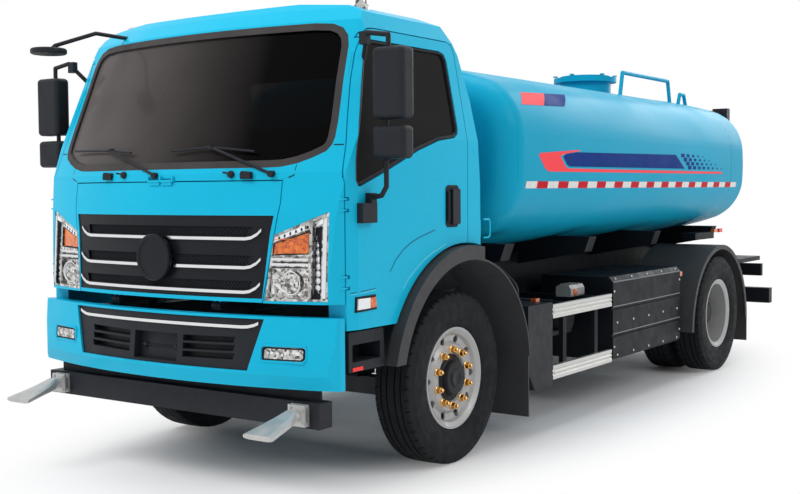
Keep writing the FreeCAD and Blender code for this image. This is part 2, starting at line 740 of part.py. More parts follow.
def bumper_form(name, inset):
    reach = s.bumper_nose - inset
    nose = nose_form(name + "_nose", [
        (reach - 22, s.bumper_foot - 1), (reach, s.bumper_foot + 70), (reach, s.bumper_foot + 110),
        (reach - 26, s.bumper_top + 1)])
    wide = s.bumper_wrap - inset
    back = behind(-930) if float(inset) else behind(-1130)
    half = [(wide, back), (wide - 2, behind(-1165) + inset), (wide - 16, behind(-1192) + inset),
            (wide - 50, behind(-1218) + inset), (wide - 95, behind(-1700))]
    plan = prism(name + "_plan", "XY", half + [(-x, y) for x, y in reversed(half)],
                 s.bumper_foot, s.bumper_top)
    return shared(name, nose, plan)


def front_view(name, points, low=-1800, high=-1000):
    return prism(name, "XZ", points, behind(low), behind(high))


def both_sides(points):
    """A closed outline and its mirror image, ends joined, for a piece across the middle."""
    return points + [(-x, z) for x, z in reversed(points)]


def strip_outline(height, half, rise):
    """A thin level band whose two ends turn up."""
    low = [(half - 95, height), (half - 60, height + rise * 0.12), (half - 25, height + rise * 0.5),
           (half, height + rise)]
    high = [(x, z + s.strip_height) for x, z in reversed(low)]
    return both_sides(low + high)


def bumper():
    outer = bumper_form("bumper_outer", 0)
    inner = bumper_form("bumper_inner", s.bumper_wall)
    gap = s.seat_gap
    mouth = [(640, s.bumper_foot + 85), (725, s.bumper_top - 14)]
    mouth_clear = [(640 + gap, s.bumper_foot + 85 - gap), (725 + gap, s.bumper_top - 14 + gap)]
    lamp = [(715, 742), (975, 750), (975, 828), (722, 820)]
    lamp_clear = grown(lamp, gap)
    mouth_tool = front_view("bumper_mouth", both_sides(mouth_clear))
    lamp_tool = front_view("fog_opening", lamp_clear)
    shell = less("bumper_shell", outer, inner, mouth_tool, lamp_tool, mirror("fog_opening_other", lamp_tool))
    arm_length = 1330 - s.bar_front + s.bar_depth - 1 - gap
    arm = box("bumper_arm", 360, behind(-1330), s.bumper_foot + 20, 60, arm_length, 60)
    arm_clear = front_view("arm_clear", both_sides([(730, s.bumper_foot + 80), (730, 990)]))
    arm = less("bumper_arm_cut", arm, arm_clear)
    node("bumper", joined("bumper_all", shell, arm, mirror("bumper_arm_other", arm)))
    deep = bumper_form("bumper_deep", 12)
    back = bumper_form("bumper_back", 75)
    insert_view = front_view("insert_view", both_sides(mouth))
    insert = less("insert_cut", shared("insert_blank", deep, insert_view), back)
    recess = both_sides([(165, s.bumper_foot + 100), (165, s.bumper_foot + 250)])
    windows = [front_view("plate_recess", recess)]
    for number, rise in enumerate((130, 173, 216)):
        window = front_view("insert_window%d" % number, [
            (205, s.bumper_foot + rise), (540, s.bumper_foot + rise + 6), (552, s.bumper_foot + rise + 38),
            (205, s.bumper_foot + rise + 32)])
        windows += [window, mirror("insert_window_other%d" % number, window)]
    pockets = less("insert_pockets", joined("insert_windows", *windows), bumper_form("insert_floor", 62))
    node("bumper_grille", less("insert_all", insert, pockets))
    strip = front_view("bumper_strip_view", strip_outline(s.bumper_foot + 300, 690, 22))
    strip = shared("bumper_strip_blank", bumper_form("strip_face", 4), strip)
    node("bumper_strip", less("bumper_strip_form", strip, bumper_form("strip_back", 12 - gap)))
    lamps = shared("fog_blank", bumper_form("fog_face", 6), front_view("fog_view", lamp))
    lamps = less("fog_cut", lamps, inner)
    node("fog_lamps", pair("fog_pair", lamps))


def nozzle_bill(x, z, front):
    """The flat bill, lofted from the round neck down to a wide low mouth."""
    body = new_body("nozzle_bill")
    sections = []
    lengths = (front - 78, front - 150, behind(-s.front_reach))
    shapes = ((s.nozzle_neck + 4, s.nozzle_neck + 4), (62, 24), (s.bill_width / 2, s.bill_height / 2))
    drops = (0, s.bill_drop * 0.3, s.bill_drop)
    for number, (y, (wide, tall), drop) in enumerate(zip(lengths, shapes, drops)):
        sketch = new_sketch(body, "bill_section%d" % number, "XZ_Plane", -y)
        low, high = -tall - drop, tall - drop
        bevel = tall * 0.4
        outline(sketch, [
            (-wide, low + bevel), (-wide * 0.7, low), (wide * 0.7, low), (wide, low + bevel),
            (wide, high - bevel), (wide * 0.7, high), (wide * -0.7, high), (-wide, high - bevel)])
        sections.append(sketch)
    loft = body.newObject("PartDesign::AdditiveLoft", "bill_loft")
    loft.Profile = sections[0]
    loft.Sections = sections[1:]
    loft.Ruled = True
    return place(body, x, 0, z)


def nozzle_flange(x, z, front):
    """Two square plates face to face, held apart by a gasket and drawn together by four bolts."""
    half = s.flange_half
    parts = [box("flange_plate_" + tag, x - half, front - along, z - half, 2 * half, 12, 2 * half)
             for tag, along in (("rear", 12), ("front", 38))]
    parts.append(rod("flange_gasket", x, front - 30, z, s.nozzle_neck + 6, 20, "Y"))
    reach = half - 16
    for number, (across, up) in enumerate(((1, 1), (1, -1), (-1, 1), (-1, -1))):
        parts.append(rod("flange_bolt%d" % number, x + across * reach, front - 47, z + up * reach,
                         9, 40, "Y"))
    return parts


def spray_bar():
    front = behind(-s.bar_front)
    back = front + s.bar_depth
    bar = box("bar_beam", -s.bar_half, front, s.bar_foot, 2 * s.bar_half, s.bar_depth, s.bar_height)
    tip = s.rail_outer_x - s.rail_flange
    end = axle - s.rail_front
    hanger = box("bar_hanger", tip, back - 1, s.bar_foot,
                 s.rail_flange, end - back + 1, s.rail_top - s.bar_foot)
    # A plate on the bar closes the slot under the bumper
    top = s.bar_foot + s.bar_height
    plate = box("bar_plate", -s.bar_half + 40, back - 40, top - 1,
                2 * s.bar_half - 80, 12, s.bumper_foot - top - 1)
    node("spray_bar", joined("bar_all", bar, plate, hanger, mirror("bar_hanger_other", hanger)))
    x = s.nozzle_x
    z = s.nozzle_height
    nozzle = joined("nozzle_form", rod("nozzle_neck", x, front - 90, z, s.nozzle_neck, 80, "Y"),
                    nozzle_bill(x, z, front), *nozzle_flange(x, z, front))
    node("nozzles", pair("nozzle_pair", nozzle))


def fender_arch(name, y, z, start, wide, depth):
    """A band of the given depth bent to half a ring over the twin wheels."""
    body = new_body(name)
    sketch = new_sketch(body, name + "_section", "YZ_Plane", start)
    centre = Vector(float(y), float(z), 0)
    outer = Part.Circle(centre, Vector(0, 0, 1), float(s.fender_reach))
    inner = Part.Circle(centre, Vector(0, 0, 1), float(s.fender_reach - depth))
    for curve in (outer, inner):
        sketch.addGeometry(Part.ArcOfCircle(curve, 0, math.pi), False)
    for angle in (0, math.pi):
        sketch.addGeometry(Part.LineSegment(outer.value(angle), inner.value(angle)), False)
    for number in range(4):
        sketch.addConstraint(Sketcher.Constraint("Block", number))
    pad = body.newObject("PartDesign::Pad", name + "_pad")
    pad.Profile = sketch
    bind(pad, "Length", wide)
    return body


def fenders():
    y = axle
    z = s.tyre_radius
    reach = s.arch_radius - 15
    inner = s.cab_half_width + 50
    flare = less("flare_ring", rod("flare_outer", s.cab_half_width - 25, y, z, reach, 75, "X"),
                 rod("flare_inner", s.cab_half_width - 26, y, z, reach - 73, 77, "X"))
    flare = shared("flare_arc", flare, box("flare_keep", 0, y - 1000, 684, 2000, 1150, 1000))
    liner = less("liner_ring", rod("liner_outer", 800, y, z, reach - 72, inner - 800, "X"),
                 rod("liner_inner", 799, y, z, reach - 72 - s.sheet, inner - 798, "X"))
    liner_keep = joined("liner_keep", box("liner_keep_front", 0, y - 1000, 684, 2000, 1000, 1000),
                        box("liner_keep_rear", 0, y - 1, 560, 2000, 1000, 1000))
    liner = shared("liner_arc", liner, liner_keep)
    flap = box("flap", 830, y + reach - 74 - s.sheet, 170, inner - 840, s.sheet, 400)
    reach_in = 800 - s.rail_outer_x + 20
    stays = [box("liner_stay_" + tag, s.rail_outer_x, y + along, 770, reach_in, 44, 44)
             for tag, along in (("rear", 600), ("front", -660))]
    node("front_fenders", pair("front_fender_pair", joined("front_fender_left", flare, liner, flap, *stays)))

    block = prism("step_block", "YZ", [
        (behind(-1105), 690), (behind(-1105), s.cab_side_foot - 10), (behind(-805), s.cab_side_foot - 10),
        (behind(-790), 690)], 830, s.cab_half_width - 10)
    tread = box("step_tread", 1000, behind(-1075), 740, 200, 240, 90)
    arm = box("step_arm", s.rail_outer_x, behind(-1000), 760, 410, 60, 50)
    node("steps", pair("step_pair", joined("step_left", less("step_cut", block, tread), arm)))

    y = rear_axle
    z = s.tyre_radius - s.fender_drop
    wide = s.fender_half_width - s.fender_inner_x
    ring = fender_arch("rear_fender_arch", y, z, s.fender_inner_x, wide, s.sheet)
    rim = fender_arch("rear_fender_rim", y, z, s.fender_half_width - 8, 8, s.fender_rim)
    rear_flap = box("rear_flap", s.fender_inner_x + 20, y + s.fender_reach - s.sheet - 2, 190, wide - 20,
                    s.sheet, 300)
    parts = [ring, rim, rear_flap]
    stay_length = s.fender_inner_x + 30 - s.rail_outer_x
    for tag, along in (("front", -612), ("back", 572)):
        parts.append(box("fender_stay_" + tag, s.rail_outer_x, y + along, 720, stay_length, 40, 40))
    node("rear_fenders", pair("rear_fender_pair", joined("rear_fender_left", *parts)))


def hoses():
    """Air hoses that loop from a clip on the left rail over to the top of the left side cover."""
    x = s.rail_outer_x
    end = s.side_x - 200
    top = s.cover_top + s.seat_gap
    tubes = []
    for number, (back, rise, reach) in enumerate(((0, 0, 0), (50, 55, 40), (100, -45, -60))):
        y = behind(s.locker_front + 75 + back)
        tubes.append(hose("hose%d" % number, [
            (x + 10, y, 900), (x + 95, y, 905), (x + 190, y + 20, 1000 + rise),
            (x + 300, y + 35, 1085 + rise), (x + 400, y + 30, 1060 + rise),
            (end + reach, y + 25, 980), (end + reach, y + 25, top)], s.hose_radius))
    clip = box("hose_clip", x, behind(s.locker_front + 50), 868, 30, 180, 64)
    node("hoses", joined("hoses_all", clip, *tubes))


def rear_end():
    x = s.rail_outer_x
    rear = behind(s.rail_rear)
    deck = box("deck", x, behind(s.tank_rear + 30), s.deck_top - 40, s.deck_half - x,
               s.deck_rear - s.tank_rear - 30, 40)
    leg = box("deck_leg", 700, rear + 1, 800, 60, 40, s.deck_top - 820)
    beam = box("tail_beam", -s.deck_half, rear, 740, 2 * s.deck_half, 50, 120)
    parts = [beam, deck, leg, mirror("deck_other", deck), mirror("leg_other", leg)]
    node("rear_platform", joined("platform_all", *parts))
    back = behind(s.rear_reach)
    front = back - s.underrun_depth
    bar = box("underrun_beam", -s.underrun_half, front, s.underrun_foot,
              2 * s.underrun_half, s.underrun_depth, s.underrun_height)
    hanger = prism("underrun_hanger", "YZ", [
        (rear + 50, 745), (rear + 50, 855), (front + 1, s.underrun_foot + 140),
        (front + 1, s.underrun_foot + 20)],
        380, 430)
    node("underrun_bar", joined("underrun_all", bar, hanger, mirror("underrun_hanger_other", hanger)))
    lamp = box("tail_lamp", 740, rear + 50 + s.seat_gap, 755, 330, 30, 90)
    node("tail_lamps", pair("tail_lamp_pair", lamp))


# Cab: one outer form, set in by each wall or panel thickness
def cab_form(name, inset, foot):
    top = s.roof_top - inset
    nose = nose_form(name + "_nose", [
        (s.cab_nose - inset, foot), (s.cab_nose - 26 - inset, 1490),
        (s.screen_foot_reach - inset, s.screen_foot),
        (s.screen_head_reach - inset, s.screen_head), (s.screen_head_reach - 65 - inset, top - 44),
        (s.screen_head_reach - 165 - inset, top + 50)])
    back = s.cab_back - inset
    side = prism(name + "_side", "YZ", [
        (behind(-1800), foot), (behind(back), foot), (behind(back - 5), top - 986),
        (behind(back - 52), top - 486),
        (behind(back - 110), top - 236), (behind(back - 210), top - 70), (behind(back - 360), top - 15),
        (behind(-500), top), (behind(-780), top), (behind(-1300), top - 60)],
        -s.cab_half_width - 150, s.cab_half_width + 150)
    wide = s.cab_half_width - inset
    plan_half = [(wide, behind(400)), (wide, behind(-1030) + inset), (wide - 20, behind(-1110) + inset),
                 (wide - 70, behind(-1165) + inset), (wide - 160, behind(-1230) + inset),
                 (wide - 160, behind(-1800))]
    plan = prism(name + "_plan", "XY", both_sides(plan_half), foot, s.roof_top + 100)
    edge = s.roof_edge_x - inset
    view_half = [(wide, foot), (wide, s.waist_height), (edge, s.door_top), (edge - 45, top - 71),
                 (edge - 140, top - 30), (edge - 500, top)]
    view = prism(name + "_view", "XZ", both_sides(view_half), behind(-1900), behind(500))
    return shared(name, nose, side, plan, view)


def grown(points, by):
    """An outline moved outward by a distance, or inward where it is negative."""
    number = len(points)
    area = sum(float(a[0]) * float(b[1]) - float(b[0]) * float(a[1])
               for a, b in zip(points, points[1:] + points[:1]))
    turn = 1 if area > 0 else -1
    result = []
    for index in range(number):
        a, b, c = points[index - 1], points[index], points[(index + 1) % number]
        d1 = Vector(float(b[0]) - float(a[0]), float(b[1]) - float(a[1]), 0).normalize()
        d2 = Vector(float(c[0]) - float(b[0]), float(c[1]) - float(b[1]), 0).normalize()
        n1 = Vector(d1.y, -d1.x, 0) * turn
        n2 = Vector(d2.y, -d2.x, 0) * turn
        scale = 1 / (1 + n1.dot(n2))
        result.append((b[0] + by * ((n1.x + n2.x) * scale), b[1] + by * ((n1.y + n2.y) * scale)))
    return result


def door_outline():
    front = -s.door_front
    top = s.door_top
    return [(behind(front), s.cab_side_foot), (behind(front), top - 786),
            (behind(front + 8), top - 690), (behind(front + 30), top - 621),
            (behind(front + 74), top - 494), (behind(front + 144), top - 279),
            (behind(front + 200), top - 140), (behind(front + 262), top - 30), (behind(front + 305), top - 7),
            (behind(front + 370), top), (behind(s.door_rear - 70), top), (behind(s.door_rear - 24), top - 16),
            (behind(s.door_rear - 5), top - 60), (behind(s.door_rear), top - 570),
            (behind(s.door_rear), s.cab_side_foot)]


def pillar_outline():
    """Seen from the front, what stays with the shell between the windscreen and the door's frame."""
    edge = s.cab_half_width
    top = s.door_top
    return [(edge - 250, top - 786), (edge - 31, top - 786), (edge - 40, top - 690), (edge - 47, top - 621),
            (edge - 72, top - 480), (edge - 103, top - 279), (edge - 113, top - 140), (edge - 102, top - 50),
            (edge - 250, top - 50)]


def window_outline():
    top = s.door_top - 60
    front = 65 - s.door_front
    rear = s.door_rear - 84
    return [(behind(front + 16), top - 772), (behind(front), top - 742), (behind(front), top - 640),
            (behind(front + 8), top - 561), (behind(front + 48), top - 435),
            (behind(front + 91), top - 311), (behind(front + 139), top - 174),
            (behind(front + 182), top - 55), (behind(front + 210), top - 18),
            (behind(front + 258), top), (behind(rear - 75), top), (behind(rear - 30), top - 14),
            (behind(rear - 10), top - 50), (behind(rear), top - 440), (behind(rear - 12), top - 475),
            (behind(rear - 50), top - 498), (behind(rear - 215), top - 518), (behind(rear - 420), top - 578),
            (behind(front + 268), top - 694), (behind(front + 40), top - 772)]


def screen_outline():
    top = s.screen_head - 12
    foot = s.screen_foot + 26
    wide = s.cab_half_width - 115
    return both_sides([
        (wide - 335, foot), (wide - 260, foot + 3), (wide - 175, foot + 19), (wide - 95, foot + 48),
        (wide - 30, foot + 80), (wide - 7, foot + 112), (wide, foot + 152), (wide - 4, foot + 239),
        (wide - 28, top - 313), (wide - 43, top - 128), (wide - 59, top - 74), (wide - 95, top - 32),
        (wide - 155, top - 8), (wide - 255, top)])


def hatch_outline():
    wide = s.hatch_half_width
    return both_sides([(wide - 95, s.cab_floor - 18), (wide - 42, s.hatch_top - 300),
                       (wide - 10, s.hatch_top - 115), (wide - 8, s.hatch_top)])


# The grille's three sunk bands, lowest and highest edge of each
GRILLE_BANDS = [(1105, 1150), (1232, 1282), (1382, 1432)]
# Each headlight's sunk chambers: indicator, main reflector, column of small lamps
CHAMBERS = [[(752, 1284), (958, 1292), (958, 1412), (756, 1348)],
            [(732, 1066), (958, 1066), (958, 1222), (742, 1222)],
            [(974, 1066), (1026, 1066), (1026, 1478), (974, 1460)]]


def hinge_heights():
    return ((1150, "low"), (1545, "high"))


def hinge_pin(height, tag):
    """A door hinge's pin between two ears that reach back from the front post."""
    x, y = s.hinge_x, behind(-s.hinge_reach)
    pin = rod("hinge_pin_" + tag, x, y, height - 33, s.hinge_pin, 66)
    ears = [box("hinge_ear_%s%d" % (tag, number), x - 34, y - 30, height + low, 38, 36, 9)
            for number, low in enumerate((-33, 24))]
    return joined("hinge_" + tag, pin, *ears)


def hinge_eye(height, tag):
    return rod("hinge_eye_" + tag, s.hinge_x, behind(-s.hinge_reach), height - 20, s.hinge_eye, 40)


def hinge_notch(height, tag):
    """The room in the door for the two ears, above and below its eye, and for the pin."""
    x, y = s.hinge_x, behind(-s.hinge_reach)
    rooms = [box("hinge_room_%s%d" % (tag, number), x - 44, y - 40, height + low, 90, 56, 18)
             for number, low in enumerate((-38, 20))]
    return joined("hinge_room_" + tag, rod("hinge_bore_" + tag, x, y, height - 40,
                                           s.hinge_pin + s.pin_clearance, 80), *rooms)


def hatch_hinge_pin():
    """The hatch's hinge pin, carried by three ears under the windscreen."""
    y = behind(-s.hatch_pivot)
    z = s.hatch_top + s.hatch_pivot_rise
    ears = [box("hatch_hinge_ear%d" % number, x, y - 5, z - 4, 10, 36, 30)
            for number, x in enumerate((-98, -5, 88))]
    return joined("hatch_hinge_form", rod("hatch_hinge_pin", -98, y, z, s.hinge_pin, 196, "X"), *ears)


def hatch_hinge_eyes():
    """The hatch's two hinge eyes, each on a tab that stands on its top edge."""
    y = behind(-s.hatch_pivot)
    z = s.hatch_top + s.hatch_pivot_rise
    eyes = []
    for number, x in enumerate((-86, 7)):
        eyes.append(rod("hatch_eye%d" % number, x, y, z, s.hinge_eye - 1, 79, "X"))
        eyes.append(box("hatch_tab%d" % number, x, y - 2, s.hatch_top - 16, 79, 24, 16))
    return eyes


def headlight_outline():
    return [(716, 1052), (1064, 1056), (1062, 1510), (762, 1390)]


def cab():
    seam = s.seam
    gap = s.seat_gap
    foot = s.cab_floor - 20
    outer = cab_form("cab_outer", 0, foot)
    room = cab_form("cab_room", s.cab_wall, s.cab_floor + s.floor_wall)
    seat = cab_form("cab_front_seat", 36, foot - 20)
    glass_out = cab_form("glass_out", s.glass_inset, foot + 5)
    glass_in = cab_form("glass_in", s.glass_inset + s.glass, foot)
    panel_in = cab_form("panel_in", s.hatch_wall, foot - 30)
    y = axle
    z = s.tyre_radius
    wide = s.cab_half_width + 100 - s.arch_inner_x
    arch = rod("arch", s.arch_inner_x, y, z, s.arch_radius, wide, "X")
    arch_other = mirror("arch_other", arch)
    tunnel = rod("tunnel", s.arch_inner_x - s.arch_wall, y, z, s.arch_radius + s.arch_wall, wide, "X")
    inside = less("cab_inside", room, tunnel, mirror("tunnel_other", tunnel))
    skin = s.cab_half_width - s.door_wall - seam
    tunnel_keep = rod("tunnel_keep", 850, y, z, s.arch_radius + s.arch_wall, skin - 850, "X")
    door_hole = less("door_hole", prism("door_hole_view", "YZ", grown(door_outline(), seam),
                                        s.door_inner_x - seam, s.cab_half_width + 50), tunnel_keep,
                     prism("pillar_keep", "XZ", grown(pillar_outline(), -seam), behind(-1300), behind(-806)))
    # The windscreen lies in a rebate, with a lip of the shell behind its seal
    seal_inner = grown(screen_outline(), -s.seal_width)
    rebate = less("screen_rebate", front_view("rebate_view", grown(screen_outline(), gap), -1800, -700), seat)
    screen_hole = joined("screen_hole", rebate, front_view("screen_through", seal_inner, -1800, -700))
    rear_top = s.door_top - 140
    rear_glass = [(560, rear_top - 450), (600, rear_top - 410), (600, rear_top - 40), (560, rear_top)]
    rear_hole = prism("rear_hole", "XZ", grown(both_sides(rear_glass), gap), behind(0), behind(400))
    hatch_view = front_view("hatch_clear", grown(hatch_outline(), seam))
    hatch_hole = joined("hatch_room", less("hatch_hole", hatch_view, seat),
                        box("hatch_hinge_room", -100, behind(-s.hatch_pivot - 12), s.hatch_top, 200, 30, 20))
    lamp_hole = less("lamp_hole", front_view("lamp_clear", grown(headlight_outline(), gap)), seat)
    shell = less("cab_cut", outer, inside, arch, arch_other, door_hole, mirror("door_hole_other", door_hole),
                 screen_hole, rear_hole, hatch_hole, lamp_hole,
                 mirror("lamp_hole_other", lamp_hole))
    extras = [cab_lugs(1, "left"), cab_lugs(-1, "right")]
    pins = joined("hinge_pins", *[hinge_pin(height, tag) for height, tag in hinge_heights()])
    extras += [pins, mirror("hinge_pins_other", pins)]
    pads = joined("hatch_pads", *[
        box("hatch_pad_" + tag, x, behind(-1300), height, 40, 110, 30)
        for tag, x, height in (("low", 560, 1075), ("high", 700, s.hatch_top - 60))])
    pads = shared("hatch_pads_cut", pads, cab_form("pad_face", s.hatch_wall + gap, foot - 30))
    loop = bent_bar("rear_handle", [(1080, behind(150), 1330), (1080, behind(285), 1330),
                                    (1080, behind(285), 1425), (1080, behind(150), 1425)], s.hose_radius)
    extras += [pads, mirror("hatch_pads_other", pads), loop, hatch_hinge_pin()]
    node("cab_shell", joined("cab_all", shell, *extras))

    seal = shared("seal_blank", outer, front_view("seal_view", screen_outline(), -1800, -700))
    seal = less("seal_cut", seal,
                cab_form("seal_back", s.glass_inset + s.glass + 10, foot - 10),
                front_view("seal_hole", grown(seal_inner, gap), -1800, -700))
    node("windscreen_seal", seal)
    screen = shared("screen_blank", glass_out, front_view("screen_view", seal_inner, -1800, -700))
    node("windscreen", less("screen_cut", screen, glass_in))
    rear_view = prism("rear_glass_view", "XZ", both_sides(rear_glass), behind(0), behind(400))
    node("rear_window", less("rear_glass_cut", shared("rear_glass_blank", glass_out, rear_view), glass_in))

    grille_half = [(s.grille_half_width - 40, 1062), (s.grille_half_width - 4, 1395),
                   (s.grille_half_width + 15, 1490)]
    grille_form = both_sides(grille_half)
    panel = shared("hatch_blank", outer, front_view("hatch_view", hatch_outline()))
    panel = less("hatch_cut", panel, panel_in,
                 front_view("grille_clear", grown(grille_form, gap)))
    pivot_bore = rod("hatch_hinge_bore", -100, behind(-s.hatch_pivot), s.hatch_top + s.hatch_pivot_rise,
                     s.hinge_pin + s.pin_clearance, 200, "X")
    node("hatch_panel", less("hatch_hung", joined("hatch_and_eyes", panel, *hatch_hinge_eyes()), pivot_bore))
    face = cab_form("grille_face", s.grille_inset, foot - 4)
    plate = shared("grille_blank", face, front_view("grille_view", grille_form))
    plate = less("grille_plate", plate, panel_in)
    bands = joined("grille_bands", *[front_view("grille_band%d" % number, both_sides([
        (s.grille_half_width - 120, low), (s.grille_half_width - 105, high)]))
        for number, (low, high) in enumerate(GRILLE_BANDS)])
    bands = less("grille_recess", bands, cab_form("grille_floor", s.grille_inset + 15, foot - 14))
    disc = rod("grille_disc", 0, behind(-s.cab_nose - 8), 1258, 94, 34, "Y")
    node("grille", joined("grille_all", less("grille_cut", plate, bands), disc))
    half = s.grille_half_width - 50
    strips = [front_view("grille_strip_view%d" % number, strip_outline(low - 20, half, 46))
              for number, (low, high) in enumerate(GRILLE_BANDS)]
    strips = shared("grille_strips_blank", cab_form("strip_front", -s.strip_proud, foot - 40),
                    joined("grille_strip_views", *strips))
    hub = rod("disc_clear", 0, behind(-s.cab_nose - 60), 1258, 94 + gap, 120, "Y")
    strip_rear = cab_form("strip_rear", s.grille_inset - gap, foot - 4)
    node("grille_strips", less("grille_strips_cut", strips, strip_rear, hub))
    lamps = less("headlight_cut", shared("headlight_blank", cab_form("headlight_face", 4, foot - 3),
                                         front_view("headlight_view", headlight_outline())), panel_in)
    chambers = joined("headlight_chambers", *[front_view("headlight_chamber%d" % number, points)
                                              for number, points in enumerate(CHAMBERS)])
    chambers = less("headlight_recess", chambers, cab_form("headlight_floor", s.lamp_depth, foot - 18))
    node("headlights", pair("headlight_pair", less("headlight_form", lamps, chambers)))

    door_outer = cab_form("door_outer", 0, s.cab_side_foot - 5)
    door_inner = cab_form("door_inner", s.door_wall, s.cab_side_foot - 100)
    far = s.cab_half_width + 150
    door = shared("door_blank", door_outer, prism("door_view", "YZ", door_outline(), s.door_inner_x, far))
    pillar_room = prism("pillar_room", "XZ", pillar_outline(), behind(-1300), behind(-800))
    door = less("door_cut", door, door_inner, arch, pillar_room,
                prism("window_hole", "YZ", grown(window_outline(), gap), s.door_inner_x, far))
    eyes = [hinge_eye(height, tag) for height, tag in hinge_heights()]
    notches = [hinge_notch(height, tag) for height, tag in hinge_heights()]
    door = less("door_hung", joined("door_and_eyes", door, *eyes), *notches)
    node("door_left", door)
    node("door_right", mirror("door_mirrored", door))
    pane_view = prism("pane_view", "YZ", window_outline(), s.door_inner_x, far)
    pane = less("pane_cut", shared("pane_blank", glass_out, pane_view), glass_in, pillar_room)
    node("door_glass_left", pane)
    node("door_glass_right", mirror("pane_mirrored", pane))


def rounded_block(name, x_low, x_high, y_low, y_high, z_low, z_high):
    corners = [(x_low, z_low), (x_high, z_low), (x_high, z_high), (x_low, z_high)]
    block = prism(name, "XZ", corners, y_low, y_high)
    return round_off(block, s.mirror_round, lambda edge, point: True)


def door_fittings():
    y = behind(-950)
    x = s.cab_half_width
    top = s.door_top - 135
    arm_x = x + 122
    parts = [rounded_block("mirror_head", x + 70, x + 265, y - 55, y + 55, top - 360, top),
             rounded_block("mirror_low_head", x + 62, x + 265, y - 50, y + 50, top - 560, top - 393),
             bent_bar("mirror_top_arm", [(x - 75, behind(-870), top - 35), (x + 10, y, top + 85),
                                         (x + 140, y, top + 65), (x + 140, y, top - 35)], 13),
             bent_bar("mirror_low_arm", [(arm_x, y, top - 335), (arm_x, y, top - 700),
                                         (arm_x - 30, y, top - 745), (x + 20, y + 7, top - 757)], 13),
             box("mirror_foot", x - 20, behind(-967), top - 784, 60, 47, 52),
             box("mirror_bracket", x - 20, behind(-1037), top - 885, 58, 123, 102)]
    mirror_all = less("mirror_seated", joined("mirror_form", *parts), doc.getObject("door_outer"))
    handle = box("handle", x + s.seat_gap, behind(s.door_rear - 184), top - 915, 18, 80, 200)
    node("door_fittings_left", group("fittings_left", mirror_all, handle))
    node("door_fittings_right", mirror("fittings_mirrored", doc.getObject("fittings_left")))


def cab_fittings():
    outer = doc.getObject("cab_outer")
    room = doc.getObject("cab_inside")
    top = s.roof_top
    lamp_x = s.roof_edge_x - 150
    dome = prism("roof_lamp_dome", "XY", (lamp_x, behind(-650), s.beacon_radius), top - 50, top + 19)
    dome = round_off(dome, s.beacon_radius * 0.55, lambda edge, point: point.z > float(top + 18))
    lamp = joined("roof_lamp_form", dome, rod("roof_lamp_base", lamp_x, behind(-650), top - 50,
                                              s.beacon_radius + 9, 34))
    node("roof_lamps", pair("roof_lamp_pair", less("roof_lamp_cut", lamp, outer)))
    disc = prism("front_mirror_head", "XY", (-870, behind(-1330), s.mirror_disc), top - 214, top - 180)
    disc = round_off(disc, 12, lambda edge, point: True)
    head = joined("front_mirror_form", disc, bent_bar("front_mirror_arm", [
        (-700, behind(-790), top - 91), (-750, behind(-1080), top - 76), (-860, behind(-1290), top - 160),
        (-870, behind(-1320), top - 190)], 12))
    node("front_mirror", less("front_mirror_seated", head, outer))
    # Each arm's pivot, the place its blade is held at, and the two ends of the blade, with how
    # far each lies back from the nose; the heights count from the foot of the windscreen
    wipers = []
    foot = s.screen_foot
    for tag, *places in (
            ("left", (736, 127, -7), (322, 110, 141), (606, 135, 112), (39, 90, 125)),
            ("right", (-45, 54, -7), (-485, 129, 143), (-292, 101, 125), (-891, 205, 151))):
        pivot, held, near, far = [(x, behind(back - s.cab_nose), foot + height) for x, back, height in places]
        x, y, z = held
        clip = box("wiper_clip_" + tag, x - 16, y - 18, z - 10, 32, 26, 20)
        arm = strut("wiper_arm_" + tag, (pivot[0], pivot[1] - 12, pivot[2]), (x, y - 8, z), 8)
        hub = rod("wiper_hub_" + tag, pivot[0], pivot[1] - 24, pivot[2], 17, 60, "Y")
        wipers.append(joined("wiper_" + tag, clip, strut("wiper_blade_near_" + tag, held, near, 6),
                             strut("wiper_blade_far_" + tag, held, far, 6),
                             less("wiper_arm_seated_" + tag, arm, outer),
                             less("wiper_hub_seated_" + tag, hub, outer)))
    node("wipers", group("wipers_all", *wipers))
    dash = prism("dash_form", "YZ", [
        (behind(-1190), 1200), (behind(-1190), 1600), (behind(-900), 1640), (behind(-800), 1560),
        (behind(-820), 1420), (behind(-980), 1330), (behind(-1000), 1200)], -980, 980)
    ring = doc.addObject("Part::Torus", "steering_ring")
    ring.Radius1 = 220
    ring.Radius2 = 15
    ring.Placement = Placement(Vector(), Rotation(Vector(1, 0, 0), 30))
    place(ring, 520, behind(-720), 1640)
    column = strut("steering_column", (520, behind(-900), 1380), (520, behind(-722), 1643), 30)
    spoke = box("steering_spoke", 305, -10, -10, 430, 20, 20)
    spoke.Placement = Placement(Vector(), Rotation(Vector(1, 0, 0), 30))
    place(spoke, 305, behind(-732), 1636)
    cabin = shared("dash_trim", dash, room)
    node("dashboard", joined("dashboard_all", cabin, ring, column, spoke))
    profile = [
        (behind(-560), 1150 + s.seat_gap), (behind(-560), 1420), (behind(-120), 1400), (behind(10), 2020),
        (behind(100), 2020), (behind(30), 1360), (behind(0), 1150 + s.seat_gap)]
    seat = prism("driver_seat", "YZ", profile, 270, 540)
    wide_seat = prism("bench_seat", "YZ", profile, -540, 150)
    node("seats", group("seats_all", seat, wide_seat))


front_wheels()
rear_wheels()
front_axle()
knuckles()
rear_axle_beam()
leaf_springs()
frame()
drive()
side_gear()
tank_and_saddle()
bumper()
spray_bar()
fenders()
hoses()
rear_end()
cab()
door_fittings()
cab_fittings()

